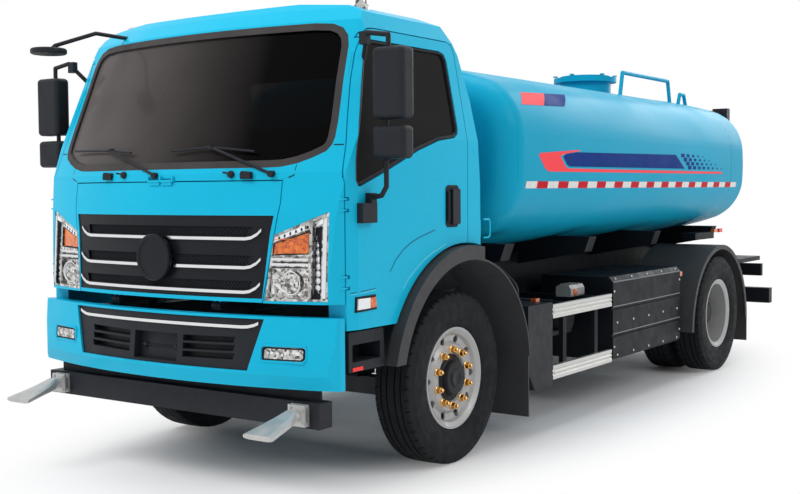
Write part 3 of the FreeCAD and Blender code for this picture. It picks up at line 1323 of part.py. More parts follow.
doc.recompute()
for thing in doc.Objects:
    if "Invalid" in thing.State or "Error" in thing.State:
        raise RuntimeError("%s could not be made: %s" % (thing.Label, thing.State))
for label, thing in nodes.items():
    if thing.Shape.isNull() or not thing.Shape.isValid():
        raise RuntimeError("%s has no valid shape" % label)

os.makedirs("parts", exist_ok=True)
for label, thing in nodes.items():
    thing.Shape.exportStep("parts/%s.step" % label)
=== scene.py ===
"""The looks of the tanker truck: finishes, lamps, tread, trim, stripes, light and camera."""

import json
import math

import bmesh
import bpy
from mathutils import Matrix, Vector
from mathutils.bvhtree import BVHTree


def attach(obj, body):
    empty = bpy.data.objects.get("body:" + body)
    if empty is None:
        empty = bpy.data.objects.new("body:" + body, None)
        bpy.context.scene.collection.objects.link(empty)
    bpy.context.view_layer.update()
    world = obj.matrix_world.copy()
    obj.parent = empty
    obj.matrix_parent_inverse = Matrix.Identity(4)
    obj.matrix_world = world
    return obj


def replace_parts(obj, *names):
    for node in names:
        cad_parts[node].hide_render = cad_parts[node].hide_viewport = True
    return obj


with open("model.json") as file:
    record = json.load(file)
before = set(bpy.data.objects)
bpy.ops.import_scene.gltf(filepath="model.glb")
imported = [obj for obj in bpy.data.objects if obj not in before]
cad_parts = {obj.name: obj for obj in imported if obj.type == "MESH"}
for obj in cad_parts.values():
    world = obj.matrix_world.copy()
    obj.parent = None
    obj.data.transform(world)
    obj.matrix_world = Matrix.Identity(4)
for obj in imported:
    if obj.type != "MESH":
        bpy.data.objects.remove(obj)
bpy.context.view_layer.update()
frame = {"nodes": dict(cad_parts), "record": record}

FRONT_AXLE_Y = -2.180
REAR_AXLE_Y = 2.020
AXLE_Z = 0.508


def behind(distance):
    """A row-frame y from a distance behind the front axle."""
    return FRONT_AXLE_Y + distance


# Materials
NOISE_SPAN = (0.35, 0.65)
MIX_FIRST, MIX_SECOND, MIX_RESULT = 6, 7, 2
WHITE = (1, 1, 1, 1)
FINISH = {}


class Nodes:
    """A small builder for one material's node tree."""

    def __init__(self, name):
        self.material = bpy.data.materials.new(name)
        self.material.use_nodes = True
        self.tree = self.material.node_tree
        self.shader = self.tree.nodes["Principled BSDF"]
        self.links = self.tree.links
        coordinates = self.tree.nodes.new("ShaderNodeTexCoord")
        self.place = coordinates.outputs["Object"]

    def feed(self, socket, value):
        """Link a socket to another node's, or write its value."""
        if isinstance(value, bpy.types.NodeSocket):
            self.links.new(value, socket)
        else:
            socket.default_value = value

    def new(self, kind, **inputs):
        node = self.tree.nodes.new(kind)
        for name, value in inputs.items():
            self.feed(node.inputs[name.replace("_", " ")], value)
        return node

    def set(self, **values):
        for name, value in values.items():
            self.feed(self.shader.inputs[name.replace("_", " ")], value)

    def noise(self, scale, detail=3.0, stretch=None):
        source = self.place
        if stretch:
            source = self.new("ShaderNodeMapping", Vector=self.place, Scale=stretch).outputs[0]
        return self.new("ShaderNodeTexNoise", Vector=source, Scale=scale, Detail=detail).outputs["Fac"]

    def span(self, value, start, end):
        """Zero at the first value, one at the second, and a straight line between them."""
        return self.new("ShaderNodeMapRange", Value=value, From_Min=start, From_Max=end)

    def ramp(self, value, low, high):
        """A noise's middle values, spread from low to high."""
        node = self.span(value, *NOISE_SPAN)
        self.feed(node.inputs["To Min"], low)
        self.feed(node.inputs["To Max"], high)
        return node.outputs[0]

    def blend(self, factor, first, second):
        node = self.tree.nodes.new("ShaderNodeMix")
        node.data_type = "RGBA"
        self.feed(node.inputs["Factor"], factor)
        for place, value in ((MIX_FIRST, first), (MIX_SECOND, second)):
            self.feed(node.inputs[place], value if isinstance(value, bpy.types.NodeSocket) else (*value, 1))
        return node.outputs[MIX_RESULT]

    def clouded(self, scale, detail, first, second, stretch=None):
        """Two colours that drift into each other."""
        return self.blend(self.ramp(self.noise(scale, detail, stretch), 0.0, 1.0), first, second)

    def bump(self, height, strength, distance):
        node = self.new("ShaderNodeBump", Height=height, Strength=strength, Distance=distance)
        self.links.new(node.outputs[0], self.shader.inputs["Normal"])


GRAIN_DEPTH = 0.0005
COAT_ROUGHNESS = 0.06
METAL_SPECULAR = 0.5
LEAST_ROUGH, MOST_ROUGH = 0.85, 1.15


def varied(name, colour, shift, roughness, metallic=0.0, grain=60.0, bump=0.0, coat=0.0, stretch=None,
           specular=0.16):
    """A finish whose colour and roughness drift a little over the surface, with a fine grain."""
    m = Nodes(name)
    other = tuple(min(1.0, c * (1 + shift)) for c in colour)
    m.set(Base_Color=m.clouded(grain / 12, 4.0, colour, other, stretch),
          Roughness=m.ramp(m.noise(grain / 4), roughness * LEAST_ROUGH, min(1.0, roughness * MOST_ROUGH)),
          Metallic=metallic, Specular_IOR_Level=METAL_SPECULAR if metallic > 0.5 else specular)
    if coat:
        m.set(Coat_Weight=coat, Coat_Roughness=COAT_ROUGHNESS)
    if bump:
        m.bump(m.noise(grain * 6, 2.0, stretch), bump, GRAIN_DEPTH)
    FINISH[name] = m.material


def faceted(name, dark, bright, scale, roughness, metallic):
    """A lamp finish of small facets, each with its own shade."""
    m = Nodes(name)
    cell = m.new("ShaderNodeTexVoronoi", Vector=m.place, Scale=scale).outputs["Color"]
    shade = m.new("ShaderNodeSeparateColor", Color=cell).outputs[0]
    m.set(Base_Color=m.blend(shade, dark, bright), Roughness=roughness, Metallic=metallic, Coat_Weight=0.6,
          Coat_Roughness=0.04)
    m.bump(shade, strength=0.35, distance=0.002)
    FINISH[name] = m.material


# Where the windscreen's painted reflection is palest, and where it has faded to black
SCREEN_PALE_X = -1.05
SCREEN_BLACK_X = 0.55


def glass_finish(name, alpha, across=False):
    """Dark glass; the windscreen's carries a painted reflection, brown-grey at the truck's right fading to
    black at its left.
    """
    m = Nodes(name)
    m.set(Roughness=0.08, IOR=1.45, Alpha=alpha, Specular_IOR_Level=0.05)
    colour = m.clouded(1.2, 2.0, (0.010, 0.009, 0.009), (0.016, 0.014, 0.014))
    if across:
        x = m.new("ShaderNodeSeparateXYZ", Vector=m.place).outputs[0]
        share = m.span(x, SCREEN_PALE_X, SCREEN_BLACK_X).outputs[0]
        # painted reflection: a brown-grey sheen on the glass, faded out towards the truck's left
        painted_reflection = m.clouded(2.5, 2.0, (0.125, 0.108, 0.106), (0.150, 0.130, 0.128))
        colour = m.blend(share, painted_reflection, (0.0012, 0.0010, 0.0010))
    m.set(Base_Color=colour)
    FINISH[name] = m.material


BODY_BLUE = (0.006, 0.440, 0.660)
TANK_BLUE = (0.005, 0.335, 0.515)

varied("body_paint", BODY_BLUE, 0.05, 0.32, grain=14, coat=0.06, specular=0.10)
varied("tank_paint", TANK_BLUE, 0.06, 0.38, grain=9, coat=0.03, specular=0.05)
varied("black_plastic", (0.015, 0.017, 0.021), 0.18, 0.45, bump=0.12)
varied("grey_plastic", (0.050, 0.050, 0.052), 0.14, 0.52, bump=0.12)
varied("chassis_paint", (0.008, 0.010, 0.013), 0.18, 0.44, grain=40, bump=0.10, specular=0.09)
varied("rim_silver", (0.37, 0.37, 0.365), 0.08, 0.38, metallic=0.35, grain=50, bump=0.05, coat=0.2)
varied("tyre", (0.012, 0.013, 0.015), 0.20, 0.70, grain=70, bump=0.2, specular=0.12)
varied("cast", (0.05, 0.052, 0.055), 0.25, 0.55, metallic=0.4, grain=80, bump=0.4)
varied("rail_aluminium", (0.56, 0.56, 0.54), 0.08, 0.36, metallic=0.9, grain=120, bump=0.08,
       stretch=(1, 0.05, 1))
varied("bright_steel", (0.52, 0.52, 0.51), 0.12, 0.56, metallic=0.75, grain=80, bump=0.2)
varied("chrome_trim", (0.72, 0.73, 0.74), 0.06, 0.18, metallic=1.0, bump=0.04)
varied("nut_gold", (0.60, 0.34, 0.11), 0.25, 0.26, metallic=1.0, grain=160, bump=0.1)
varied("reflector", (0.80, 0.015, 0.010), 0.25, 0.20, grain=220, bump=0.3, coat=0.5)
varied("lamp_clear", (0.80, 0.81, 0.82), 0.08, 0.10, bump=0.3, coat=0.8)
varied("lamp_red", (0.45, 0.012, 0.012), 0.3, 0.15, grain=120, coat=0.6)
varied("mirror_glass", (0.62, 0.66, 0.70), 0.04, 0.03, metallic=1.0, grain=12)
varied("coral", (0.93, 0.070, 0.085), 0.05, 0.42, grain=20, bump=0.03, specular=0.05)
varied("navy", (0.002, 0.030, 0.185), 0.12, 0.44, grain=20, bump=0.03, specular=0.03)
varied("tape_red", (0.50, 0.003, 0.014), 0.15, 0.38, grain=240, bump=0.35, specular=0.05)
varied("tape_white", (0.66, 0.66, 0.64), 0.10, 0.32, grain=240, bump=0.35, coat=0.2)
# Light grey for the painted highlights on the battery box's ledges and the rear fender's edges
varied("painted_highlight_grey", (0.20, 0.20, 0.205), 0.15, 0.42, bump=0.1)
varied("unit_grey", (0.30, 0.30, 0.29), 0.15, 0.45, metallic=0.3, bump=0.2)
varied("seal_rubber", (0.048, 0.043, 0.043), 0.15, 0.6, bump=0.1)
varied("rubber_black", (0.006, 0.007, 0.012), 0.2, 0.5, bump=0.1)
# Blues for the painted shade and painted highlights on the door's crease, ridge and lamp ledge
varied("shade_blue", (0.004, 0.150, 0.260), 0.1, 0.5, grain=30, bump=0.02)
varied("painted_highlight_blue", (0.10, 0.62, 0.80), 0.05, 0.4, grain=30, bump=0.02)
varied("cabin_trim", (0.030, 0.028, 0.028), 0.3, 0.7, bump=0.3)
varied("seat_cloth", (0.020, 0.020, 0.022), 0.4, 0.9, grain=260, bump=0.6)
varied("grille_black", (0.008, 0.009, 0.012), 0.2, 0.34, grain=70, bump=0.10)
faceted("amber", (0.50, 0.060, 0.004), (0.98, 0.230, 0.010), 62.0, 0.18, 0.0)
faceted("lamp_lens", (0.060, 0.056, 0.050), (0.72, 0.72, 0.70), 46.0, 0.16, 0.75)
faceted("bowl_facets", (0.045, 0.040, 0.034), (0.80, 0.80, 0.78), 70.0, 0.10, 0.9)
glass_finish("screen_glass", 0.93)
glass_finish("front_glass", 0.86, across=True)
glass_finish("rear_glass", 0.45)

OWN_GLASS = {"windscreen": "front_glass", "rear_window": "rear_glass"}


def dress_frame():
    """Every carried-over node gets the finish of its slot, apart from the two panes of their own."""
    for part in frame["record"]["subparts"]:
        materials = frame["nodes"][part["node"]].data.materials
        materials.clear()
        materials.append(FINISH[OWN_GLASS.get(part["node"], part["material_slot"])])


# Shapes
REARWARD = (0, 1, 0)
OUTWARD = (1, 0, 0)
UPWARD = (0, 0, 1)
WELD_DISTANCE = 1e-6


def rectangle(left, foot, right, head):
    return [(left, foot), (right, foot), (right, head), (left, head)]


def circle_of(count, radius, phase=0.0):
    for number in range(count):
        angle = 2 * math.pi * (number + phase) / count
        yield math.cos(angle) * radius, math.sin(angle) * radius


def ring_faces(rows, count):
    """Quads between rows of points that each close on themselves."""
    for row in range(rows - 1):
        for number in range(count):
            a = row * count + number
            b = row * count + (number + 1) % count
            yield a, b, b + count, a + count


class Form:
    """Points and faces gathered for one piece."""

    def __init__(self):
        self.points = []
        self.faces = []

    def add(self, points, faces):
        base = len(self.points)
        self.points += [Vector(point) for point in points]
        self.faces += [tuple(base + index for index in face) for face in faces]
        return self

    def block(self, low, high):
        points = [(x, y, z) for x in (low[0], high[0]) for y in (low[1], high[1]) for z in (low[2], high[2])]
        faces = [(0, 1, 3, 2), (4, 6, 7, 5), (0, 4, 5, 1), (2, 3, 7, 6), (0, 2, 6, 4), (1, 5, 7, 3)]
        return self.add(points, faces)

    def slab(self, face, way):
        """A closed plate: an outline in space and its copy moved by a vector."""
        count = len(face)
        near = [Vector(point) for point in face]
        far = [point + Vector(way) for point in near]
        sides = [(i, (i + 1) % count, count + (i + 1) % count, count + i) for i in range(count)]
        return self.add(near + far, [tuple(reversed(range(count))), tuple(range(count, 2 * count))] + sides)

    def turned(self, profile, centre, axis, count=24):
        """A profile of (along, out) turned about an axis."""
        axis = Vector(axis).normalized()
        side = axis.orthogonal().normalized()
        other = axis.cross(side)
        points = []
        for along, out in profile:
            for a, b in circle_of(count, out):
                points.append(Vector(centre) + axis * along + side * a + other * b)
        return self.add(points, ring_faces(len(profile), count))

    def tube(self, path, radius, count=8):
        """A round bar along a run of points."""
        path = [Vector(point) for point in path]
        points = []
        side = None
        for index, point in enumerate(path):
            before = (point - path[index - 1]).normalized() if index else Vector()
            after = (path[index + 1] - point).normalized() if index + 1 < len(path) else Vector()
            along = (before + after).normalized()
            side = along.orthogonal() if side is None else side - along * side.dot(along)
            side = side.normalized()
            other = along.cross(side)
            points += [point + side * a + other * b for a, b in circle_of(count, radius)]
        ends = [tuple(reversed(range(count))), tuple(range(len(points) - count, len(points)))]
        return self.add(points, ends + list(ring_faces(len(path), count)))

    def patch(self, skin, view, outline, lift, thick=0.0, step=0.06):
        """A sheet of the given outline, seen from one side, that lies on a surface."""
        sheet = bmesh.new()
        sheet.faces.new([sheet.verts.new((u, v, 0)) for u, v in outline])
        bmesh.ops.triangulate(sheet, faces=sheet.faces[:])
        for axis in (0, 1):
            low = min(corner[axis] for corner in outline)
            high = max(corner[axis] for corner in outline)
            number = max(1, math.ceil((high - low) / step))
            for cut in range(1, number):
                at = [0.0, 0.0, 0.0]
                at[axis] = low + (high - low) * cut / number
                across = [0.0, 0.0, 0.0]
                across[axis] = 1.0
                everything = sheet.verts[:] + sheet.edges[:] + sheet.faces[:]
                bmesh.ops.bisect_plane(sheet, geom=everything, plane_co=at, plane_no=across)
        sheet.verts.index_update()
        spots = [skin.at(view, vert.co.x, vert.co.y, lift) for vert in sheet.verts]
        faces = [[vert.index for vert in face.verts] for face in sheet.faces]
        rim = [[vert.index for vert in edge.verts] for edge in sheet.edges if len(edge.link_faces) == 1]
        sheet.free()
        if any(spot is None for spot in spots):
            raise RuntimeError("a patch leaves its surface: %s %s" % (view, outline))
        if not thick:
            return self.add(spots, faces)
        count = len(spots)
        back = [spot + skin.WAYS[view][1] * thick for spot in spots]
        walls = [(a, b, b + count, a + count) for a, b in rim]
        return self.add(spots + back, faces + walls)

    def ribbon(self, skin, view, path, width, lift, step=0.05):
        """A narrow strip along a path on a surface, seen from one side."""
        fine = [path[0]]
        for start, end in zip(path, path[1:]):
            number = max(1, math.ceil(math.dist(start, end) / step))
            for cut in range(1, number + 1):
                fine.append(tuple(a + (b - a) * cut / number for a, b in zip(start, end)))
        points = []
        for index, (u, v) in enumerate(fine):
            before = fine[max(0, index - 1)]
            after = fine[min(len(fine) - 1, index + 1)]
            along = Vector((after[0] - before[0], after[1] - before[1])).normalized()
            for side in (-1, 1):
                spot = skin.at(view, u - along.y * side * width / 2, v + along.x * side * width / 2, lift)
                if spot is None:
                    raise RuntimeError("a ribbon leaves its surface: %s %s %s" % (view, u, v))
                points.append(spot)
        faces = [(2 * n, 2 * n + 1, 2 * n + 3, 2 * n + 2) for n in range(len(fine) - 1)]
        return self.add(points, faces)

    def both(self):
        """The same again on the truck's other side."""
        faces = [tuple(reversed(face)) for face in self.faces]
        return self.add([(-point.x, point.y, point.z) for point in self.points], faces)

    def made(self, name, finish, body, smooth=35):
        mesh = bpy.data.meshes.new(name)
        mesh.from_pydata(self.points, [], self.faces)
        form = bmesh.new()
        form.from_mesh(mesh)
        bmesh.ops.remove_doubles(form, verts=form.verts[:], dist=WELD_DISTANCE)
        bmesh.ops.recalc_face_normals(form, faces=form.faces[:])
        for face in form.faces:
            face.smooth = True
        form.to_mesh(mesh)
        form.free()
        mesh.set_sharp_from_angle(angle=math.radians(smooth))
        mesh.materials.append(FINISH[finish])
        thing = bpy.data.objects.new(name, mesh)
        bpy.context.scene.collection.objects.link(thing)
        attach(thing, body)
        return thing


def forms(count):
    return [Form() for _ in range(count)]


def all_made(body, rows, both=False):
    """Makes each (form, name, finish), also on the truck's other side if asked."""
    for form, name, finish in rows:
        (form.both() if both else form).made(name, finish, body)


# The rays that look for a surface start well outside the truck
RAY_FRONT_Y = -6.0
RAY_SIDE_X = 4.0


class Skin:
    """The outer surface of some nodes, to seat pieces on."""

    WAYS = {
        "front": (lambda u, v: Vector((u, RAY_FRONT_Y, v)), Vector((0, 1, 0))),
        "left": (lambda u, v: Vector((RAY_SIDE_X, behind(u), v)), Vector((-1, 0, 0))),
        "right": (lambda u, v: Vector((-RAY_SIDE_X, behind(u), v)), Vector((1, 0, 0))),
    }

    def __init__(self, *names):
        points, faces = [], []
        for name in names:
            mesh = frame["nodes"][name].data
            base = len(points)
            points += [vertex.co.copy() for vertex in mesh.vertices]
            faces += [[base + index for index in face.vertices] for face in mesh.polygons]
        self.tree = BVHTree.FromPolygons(points, faces)

    def at(self, view, u, v, lift=0.0):
        start, way = self.WAYS[view]
        spot = self.tree.ray_cast(start(u, v), way)[0]
        return None if spot is None else spot - way * lift


# Wheels: (name, x, y, sideways offsets of the tyres, node that the dressed tyres stand for)
TWIN_OFFSETS = (0.159, -0.159)
WHEELS = [
    ("front_left", 0.970, FRONT_AXLE_Y, (0.0,), "tyre_front_left"),
    ("front_right", -0.970, FRONT_AXLE_Y, (0.0,), "tyre_front_right"),
    ("rear_left", 0.927, REAR_AXLE_Y, TWIN_OFFSETS, "tyres_rear_left"),
    ("rear_right", -0.927, REAR_AXLE_Y, TWIN_OFFSETS, "tyres_rear_right"),
]
STUDS = 10
STUD_CIRCLE = 0.1675
# One half of the tyre's section, (across, out) in millimetres, from the bead to the middle of the tread
SIDEWALL = [
    (95.7, 291), (99, 300.6), (104, 306), (112, 320), (114.6, 324), (114.6, 330), (118, 336), (120, 350),
    (124, 372), (125.2, 374), (125.2, 379), (125.8, 384), (127, 400), (127, 424), (125.6, 440),
    (126.6, 442.5), (126.6, 447), (124.6, 452), (121, 470), (118, 482)]
SHOULDER = [(115.5, 494), (108, 503), (98, 506)]
SHOULDER_CUT = [(113.5, 491), (104, 496), (95, 497)]
TREAD = [
    (83, 506.8), (71, 507), (69.5, 494), (62.5, 494), (61, 507.3), (32, 507.9), (30.5, 493.5), (22.5, 493.5),
    (21, 508), (0, 508)]
WHOLE = SIDEWALL + SHOULDER + TREAD
NOTCHED = SIDEWALL + SHOULDER_CUT + TREAD
TREAD_PITCHES = 48
PITCH_STEPS = ((0.0, WHOLE), (0.80, WHOLE), (0.84, NOTCHED), (0.96, NOTCHED))
# Turned profiles, (along the wheel's axis, out from it)
NUT = [
    (0.001, 0.0), (0.001, 0.021), (0.026, 0.021), (0.030, 0.018), (0.030, 0.012), (0.042, 0.011),
    (0.045, 0.007), (0.045, 0.0)]
WASHER = [(-0.001, 0.0), (-0.001, 0.025), (0.004, 0.025), (0.007, 0.021), (0.007, 0.0)]
FRONT_HUB = [
    (0.0742, 0.139), (0.0775, 0.139), (0.080, 0.120), (0.090, 0.107), (0.1115, 0.102), (0.1185, 0.095),
    (0.1195, 0.058), (0.1255, 0.052), (0.1265, 0.040), (0.1245, 0.034), (0.1245, 0.0)]
REAR_HUB = [
    (0.0125, 0.135), (0.022, 0.134), (0.026, 0.124), (0.150, 0.1145), (0.1715, 0.099), (0.173, 0.060),
    (0.179, 0.054), (0.179, 0.0)]
# The rim disc's outer face along the axis, the hub cover's profile, and the valve's height above the axle
WHEEL_FACES = {"front": (0.0865, FRONT_HUB, 0.262), "rear": (0.0125, REAR_HUB, 0.235)}
# The valve's two ends, (along the axis from the disc's face, up)
VALVE = ((-0.030, 0.0), (0.012, -0.006))
VALVE_RADIUS = 0.004


def tyre_form(form, centre):
    """A tyre with grooves round the tread and notches across its shoulders."""
    columns = [(2 * math.pi * (pitch + share) / TREAD_PITCHES, half)
               for pitch in range(TREAD_PITCHES) for share, half in PITCH_STEPS]
    points = []
    for angle, half in columns:
        section = [(-across, out) for across, out in half]
        section += [(across, out) for across, out in reversed(half[:-1])]
        for across, out in section:
            reach = out / 1000
            points.append((centre[0] + across / 1000, centre[1] + reach * math.cos(angle),
                           centre[2] + reach * math.sin(angle)))
    length = 2 * len(WHOLE) - 1
    faces = []
    for column in range(len(columns)):
        here = column * length
        after = (column + 1) % len(columns) * length
        for row in range(length - 1):
            faces.append((here + row, after + row, after + row + 1, here + row + 1))
    return form.add(points, faces)


def wheels():
    for tag, x, y, offsets, node in WHEELS:
        body = "wheel_" + tag
        side = math.copysign(1, x)
        out = Vector((side, 0, 0))
        centre = Vector((x, y, AXLE_Z))
        face, hub_profile, valve_height = WHEEL_FACES[tag.split("_")[0]]
        tyres, nuts, washers, hub, valve = forms(5)
        for offset in offsets:
            tyre_form(tyres, (x + offset, y, AXLE_Z))
        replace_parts(tyres.made("tyre_" + tag, "tyre", body, smooth=28), node)
        for a, b in circle_of(STUDS, STUD_CIRCLE, 0.5):
            foot = centre + Vector((side * face, a, b))
            nuts.turned(NUT, foot, out, count=6)
            washers.turned(WASHER, foot, out, count=16)
        hub.turned(hub_profile, centre, out, count=40)
        valve.tube([centre + Vector((side * (face + along), 0, valve_height + up)) for along, up in VALVE],
                   VALVE_RADIUS)
        all_made(body, [
            (nuts, "wheel_nuts_" + tag, "nut_gold"), (washers, "wheel_washers_" + tag, "nut_gold"),
            (hub, "hub_cover_" + tag, "grille_black"), (valve, "valve_" + tag, "nut_gold")])


# Tank livery: one outline each, (distance behind the front axle, height)
SIDES = (("left", 1), ("right", -1))
SWOOSH = [
    (0.805, 1.834), (0.834, 1.847), (1.396, 1.879), (1.407, 1.872), (1.160, 1.846), (1.112, 1.829),
    (1.188, 1.764), (1.236, 1.752), (4.241, 1.755), (4.243, 1.738), (0.949, 1.729), (0.897, 1.747)]
BAR = [
    (1.340, 1.862), (3.144, 1.883), (3.339, 1.773), (1.242, 1.765), (1.205, 1.779), (1.150, 1.829),
    (1.200, 1.849)]
SIGN_CORAL = [(0.800, 2.236), (1.150, 2.252), (1.000, 2.160), (0.690, 2.150)]
SIGN_NAVY = [(1.150, 2.252), (1.500, 2.268), (1.310, 2.170), (1.000, 2.160)]
# Rows of small squares, which shrink from the first to the last: (start, end, height, count)
DOT_ROWS = [
    (3.298, 3.761, 1.880, 5), (3.352, 3.910, 1.848, 6), (3.409, 4.068, 1.816, 7), (3.454, 4.220, 1.784, 8)]
FIRST_DOT, LAST_DOT, DOT_SLOPE = 0.038, 0.013, 0.40
TAPE = {"from": 0.655, "to": 4.640, "foot": 1.621, "head": 1.666, "lengths": 27}
PAINT_LIFT = 0.0012
SIGN_LIFT = 0.0020
SIGN_STEP = 0.015
TAPE_LIFT = 0.0010


def tank_livery():
    skin = Skin("tank")
    swoosh, bar, sign_coral, sign_navy, dots, white, red = forms(7)
    for side, _ in SIDES:
        swoosh.patch(skin, side, SWOOSH, PAINT_LIFT)
        bar.patch(skin, side, BAR, PAINT_LIFT)
        sign_coral.patch(skin, side, SIGN_CORAL, SIGN_LIFT, step=SIGN_STEP)
        sign_navy.patch(skin, side, SIGN_NAVY, SIGN_LIFT, step=SIGN_STEP)
        for start, end, height, count in DOT_ROWS:
            for number in range(count):
                share = number / (count - 1)
                at = start + (end - start) * share
                half = FIRST_DOT * (1 - share) + LAST_DOT * share
                tall = half * DOT_SLOPE
                square = rectangle(at - half, height - tall, at + half, height + tall)
                dots.patch(skin, side, square, PAINT_LIFT)
        length = (TAPE["to"] - TAPE["from"]) / TAPE["lengths"]
        for number in range(TAPE["lengths"]):
            at = TAPE["from"] + number * length
            strip = red if number % 2 else white
            strip.patch(skin, side, rectangle(at, TAPE["foot"], at + length, TAPE["head"]), TAPE_LIFT)
    all_made("chassis", [
        (swoosh, "tank_swoosh", "coral"), (bar, "tank_bar", "navy"),
        (sign_coral, "tank_sign_coral", "coral"), (sign_navy, "tank_sign_navy", "navy"),
        (dots, "tank_dots", "navy"), (white, "tape_white", "tape_white"), (red, "tape_red", "tape_red")])


# Headlights: outlines and paths (x, height) on the lamp of the truck's left, profiles (along, out)
AMBER_FILL = [(0.757, 1.289), (0.954, 1.297), (0.954, 1.406), (0.761, 1.345)]
AMBER_RIBS = {"from": 0.775, "to": 0.945, "foot": 1.300, "pitch": 0.014, "count": 6}
FILL_LIFT = 0.004
BOWL = [(0.738, 1.072), (0.952, 1.072), (0.952, 1.216), (0.747, 1.216)]
BOWL_CENTRE = (0.858, 1.146)
BOWL_RING = [(0.0, 0.062), (-0.012, 0.062), (-0.012, 0.056), (0.0, 0.050)]
BOWL_EYE = [(0.002, 0.050), (-0.008, 0.044), (-0.014, 0.030), (-0.017, 0.014), (-0.018, 0.0)]
DARK_COLUMN = [(0.976, 1.068), (1.026, 1.068), (1.026, 1.440), (0.976, 1.425)]
BRIGHT_COLUMN = [(1.034, 1.072), (1.054, 1.072), (1.054, 1.480), (1.034, 1.470)]
DARK_LINES = [
    ([(0.764, 1.290), (0.952, 1.297), (0.952, 1.404)], 0.0130), ([(0.768, 1.352), (0.956, 1.411)], 0.0030),
    ([(0.752, 1.226), (0.956, 1.226)], 0.0020), ([(0.758, 1.252), (0.956, 1.252)], 0.0020)]
LINE_WIDTH = 0.006
BAR_FEET = (1.235, 1.262)
BAR_HEIGHT = 0.011
BAR_INNER_X, BAR_OUTER_X, BAR_LEAN = 0.748, 0.958, 0.002
DOMES = {"x": 1.000, "from": 1.088, "pitch": 0.036, "count": 11}
DOME_RING = [(0.0, 0.0165), (-0.008, 0.0165), (-0.008, 0.0135), (0.0, 0.0135)]
DOME = [(0.0, 0.0135), (-0.005, 0.0124), (-0.009, 0.006975), (-0.010, 0.0)]
BROW = [(0.768, 1.356), (1.030, 1.450), (1.030, 1.476), (0.768, 1.378)]
BROW_MARKS = {"from": 0.790, "pitch": 0.031, "count": 8, "wide": 0.009, "foot": 1.3565, "slope": 0.3588}


def headlights():
    skin = Skin("headlights")
    amber, bowls, clear, chrome, dark = forms(5)
    amber.patch(skin, "front", AMBER_FILL, lift=0.012, thick=0.010)
    for number in range(AMBER_RIBS["count"]):
        z = AMBER_RIBS["foot"] + number * AMBER_RIBS["pitch"]
        rib = [(AMBER_RIBS["from"], z), (AMBER_RIBS["to"], z)]
        amber.ribbon(skin, "front", rib, width=0.004, lift=0.014)
    bowls.patch(skin, "front", BOWL, FILL_LIFT, thick=0.003)
    centre = skin.at("front", *BOWL_CENTRE, FILL_LIFT)
    chrome.turned(BOWL_RING, centre, REARWARD, count=36)
    bowls.turned(BOWL_EYE, centre, REARWARD, count=32)
    dark.patch(skin, "front", DARK_COLUMN, lift=0.0012)
    for path, lift in DARK_LINES:
        dark.ribbon(skin, "front", path, LINE_WIDTH, lift)
    for foot in BAR_FEET:
        head = foot + BAR_HEIGHT
        bar = [(BAR_INNER_X, foot), (BAR_OUTER_X, foot), (BAR_OUTER_X, head), (BAR_INNER_X + BAR_LEAN, head)]
        chrome.patch(skin, "front", bar, FILL_LIFT, thick=0.004)
    chrome.patch(skin, "front", BRIGHT_COLUMN, FILL_LIFT, thick=0.004)
    for number in range(DOMES["count"]):
        spot = skin.at("front", DOMES["x"], DOMES["from"] + number * DOMES["pitch"])
        chrome.turned(DOME_RING, spot, REARWARD, count=20)
        clear.turned(DOME, spot, REARWARD, count=16)
    clear.patch(skin, "front", BROW, lift=0.003, thick=0.003)
    for number in range(BROW_MARKS["count"]):
        x = BROW_MARKS["from"] + number * BROW_MARKS["pitch"]
        z = BROW_MARKS["foot"] + (x - BROW[0][0]) * BROW_MARKS["slope"]
        end = x + BROW_MARKS["wide"]
        mark = [(x, z + 0.003), (end, z + 0.006), (end, z + 0.020), (x, z + 0.018)]
        dark.patch(skin, "front", mark, lift=0.0048)
    all_made("cab", [
        (amber, "indicator_fills", "amber"), (bowls, "headlight_bowls", "bowl_facets"),
        (clear, "headlight_domes", "lamp_clear"), (chrome, "headlight_bars", "chrome_trim"),
        (dark, "headlight_marks", "rubber_black")], both=True)


# Grille: the heights between which the mesh shows, and the plain disc
MESH_BANDS = [(1.105, 1.150), (1.232, 1.282), (1.382, 1.432)]
MESH_HALF = 0.618
MESH_PITCH = 0.021
MESH_LEAN = 0.85
MESH_LIFT = 0.004
MESH_INSET = 0.001
WIRE_RADIUS = 0.0028
DISC_HEIGHT = 1.262
DISC_SINK = 0.004
DISC = [
    (0.0, 0.128), (-0.020, 0.128), (-0.026, 0.121), (-0.026, 0.104), (-0.021, 0.099), (-0.021, 0.060),
    (-0.024, 0.0)]


def grille_mesh():
    skin = Skin("grille")
    mesh, disc = forms(2)
    for low, high in MESH_BANDS:
        lean = (high - low) * MESH_LEAN
        for number in range(int((2 * MESH_HALF - lean) / MESH_PITCH) + 1):
            start = number * MESH_PITCH - MESH_HALF
            for foot, head in ((start + lean, start), (start, start + lean)):
                a = skin.at("front", foot, low + MESH_INSET, MESH_LIFT)
                b = skin.at("front", head, high - MESH_INSET, MESH_LIFT)
                if a and b:
                    mesh.tube([a, b], WIRE_RADIUS, count=5)
    mesh.made("grille_mesh", "black_plastic", "front_hatch")
    centre = Skin("grille", "grille_strips").at("front", 0.0, DISC_HEIGHT, -DISC_SINK)
    disc.turned(DISC, centre, REARWARD, count=48)
    disc.made("grille_disc", "grille_black", "front_hatch", smooth=25)


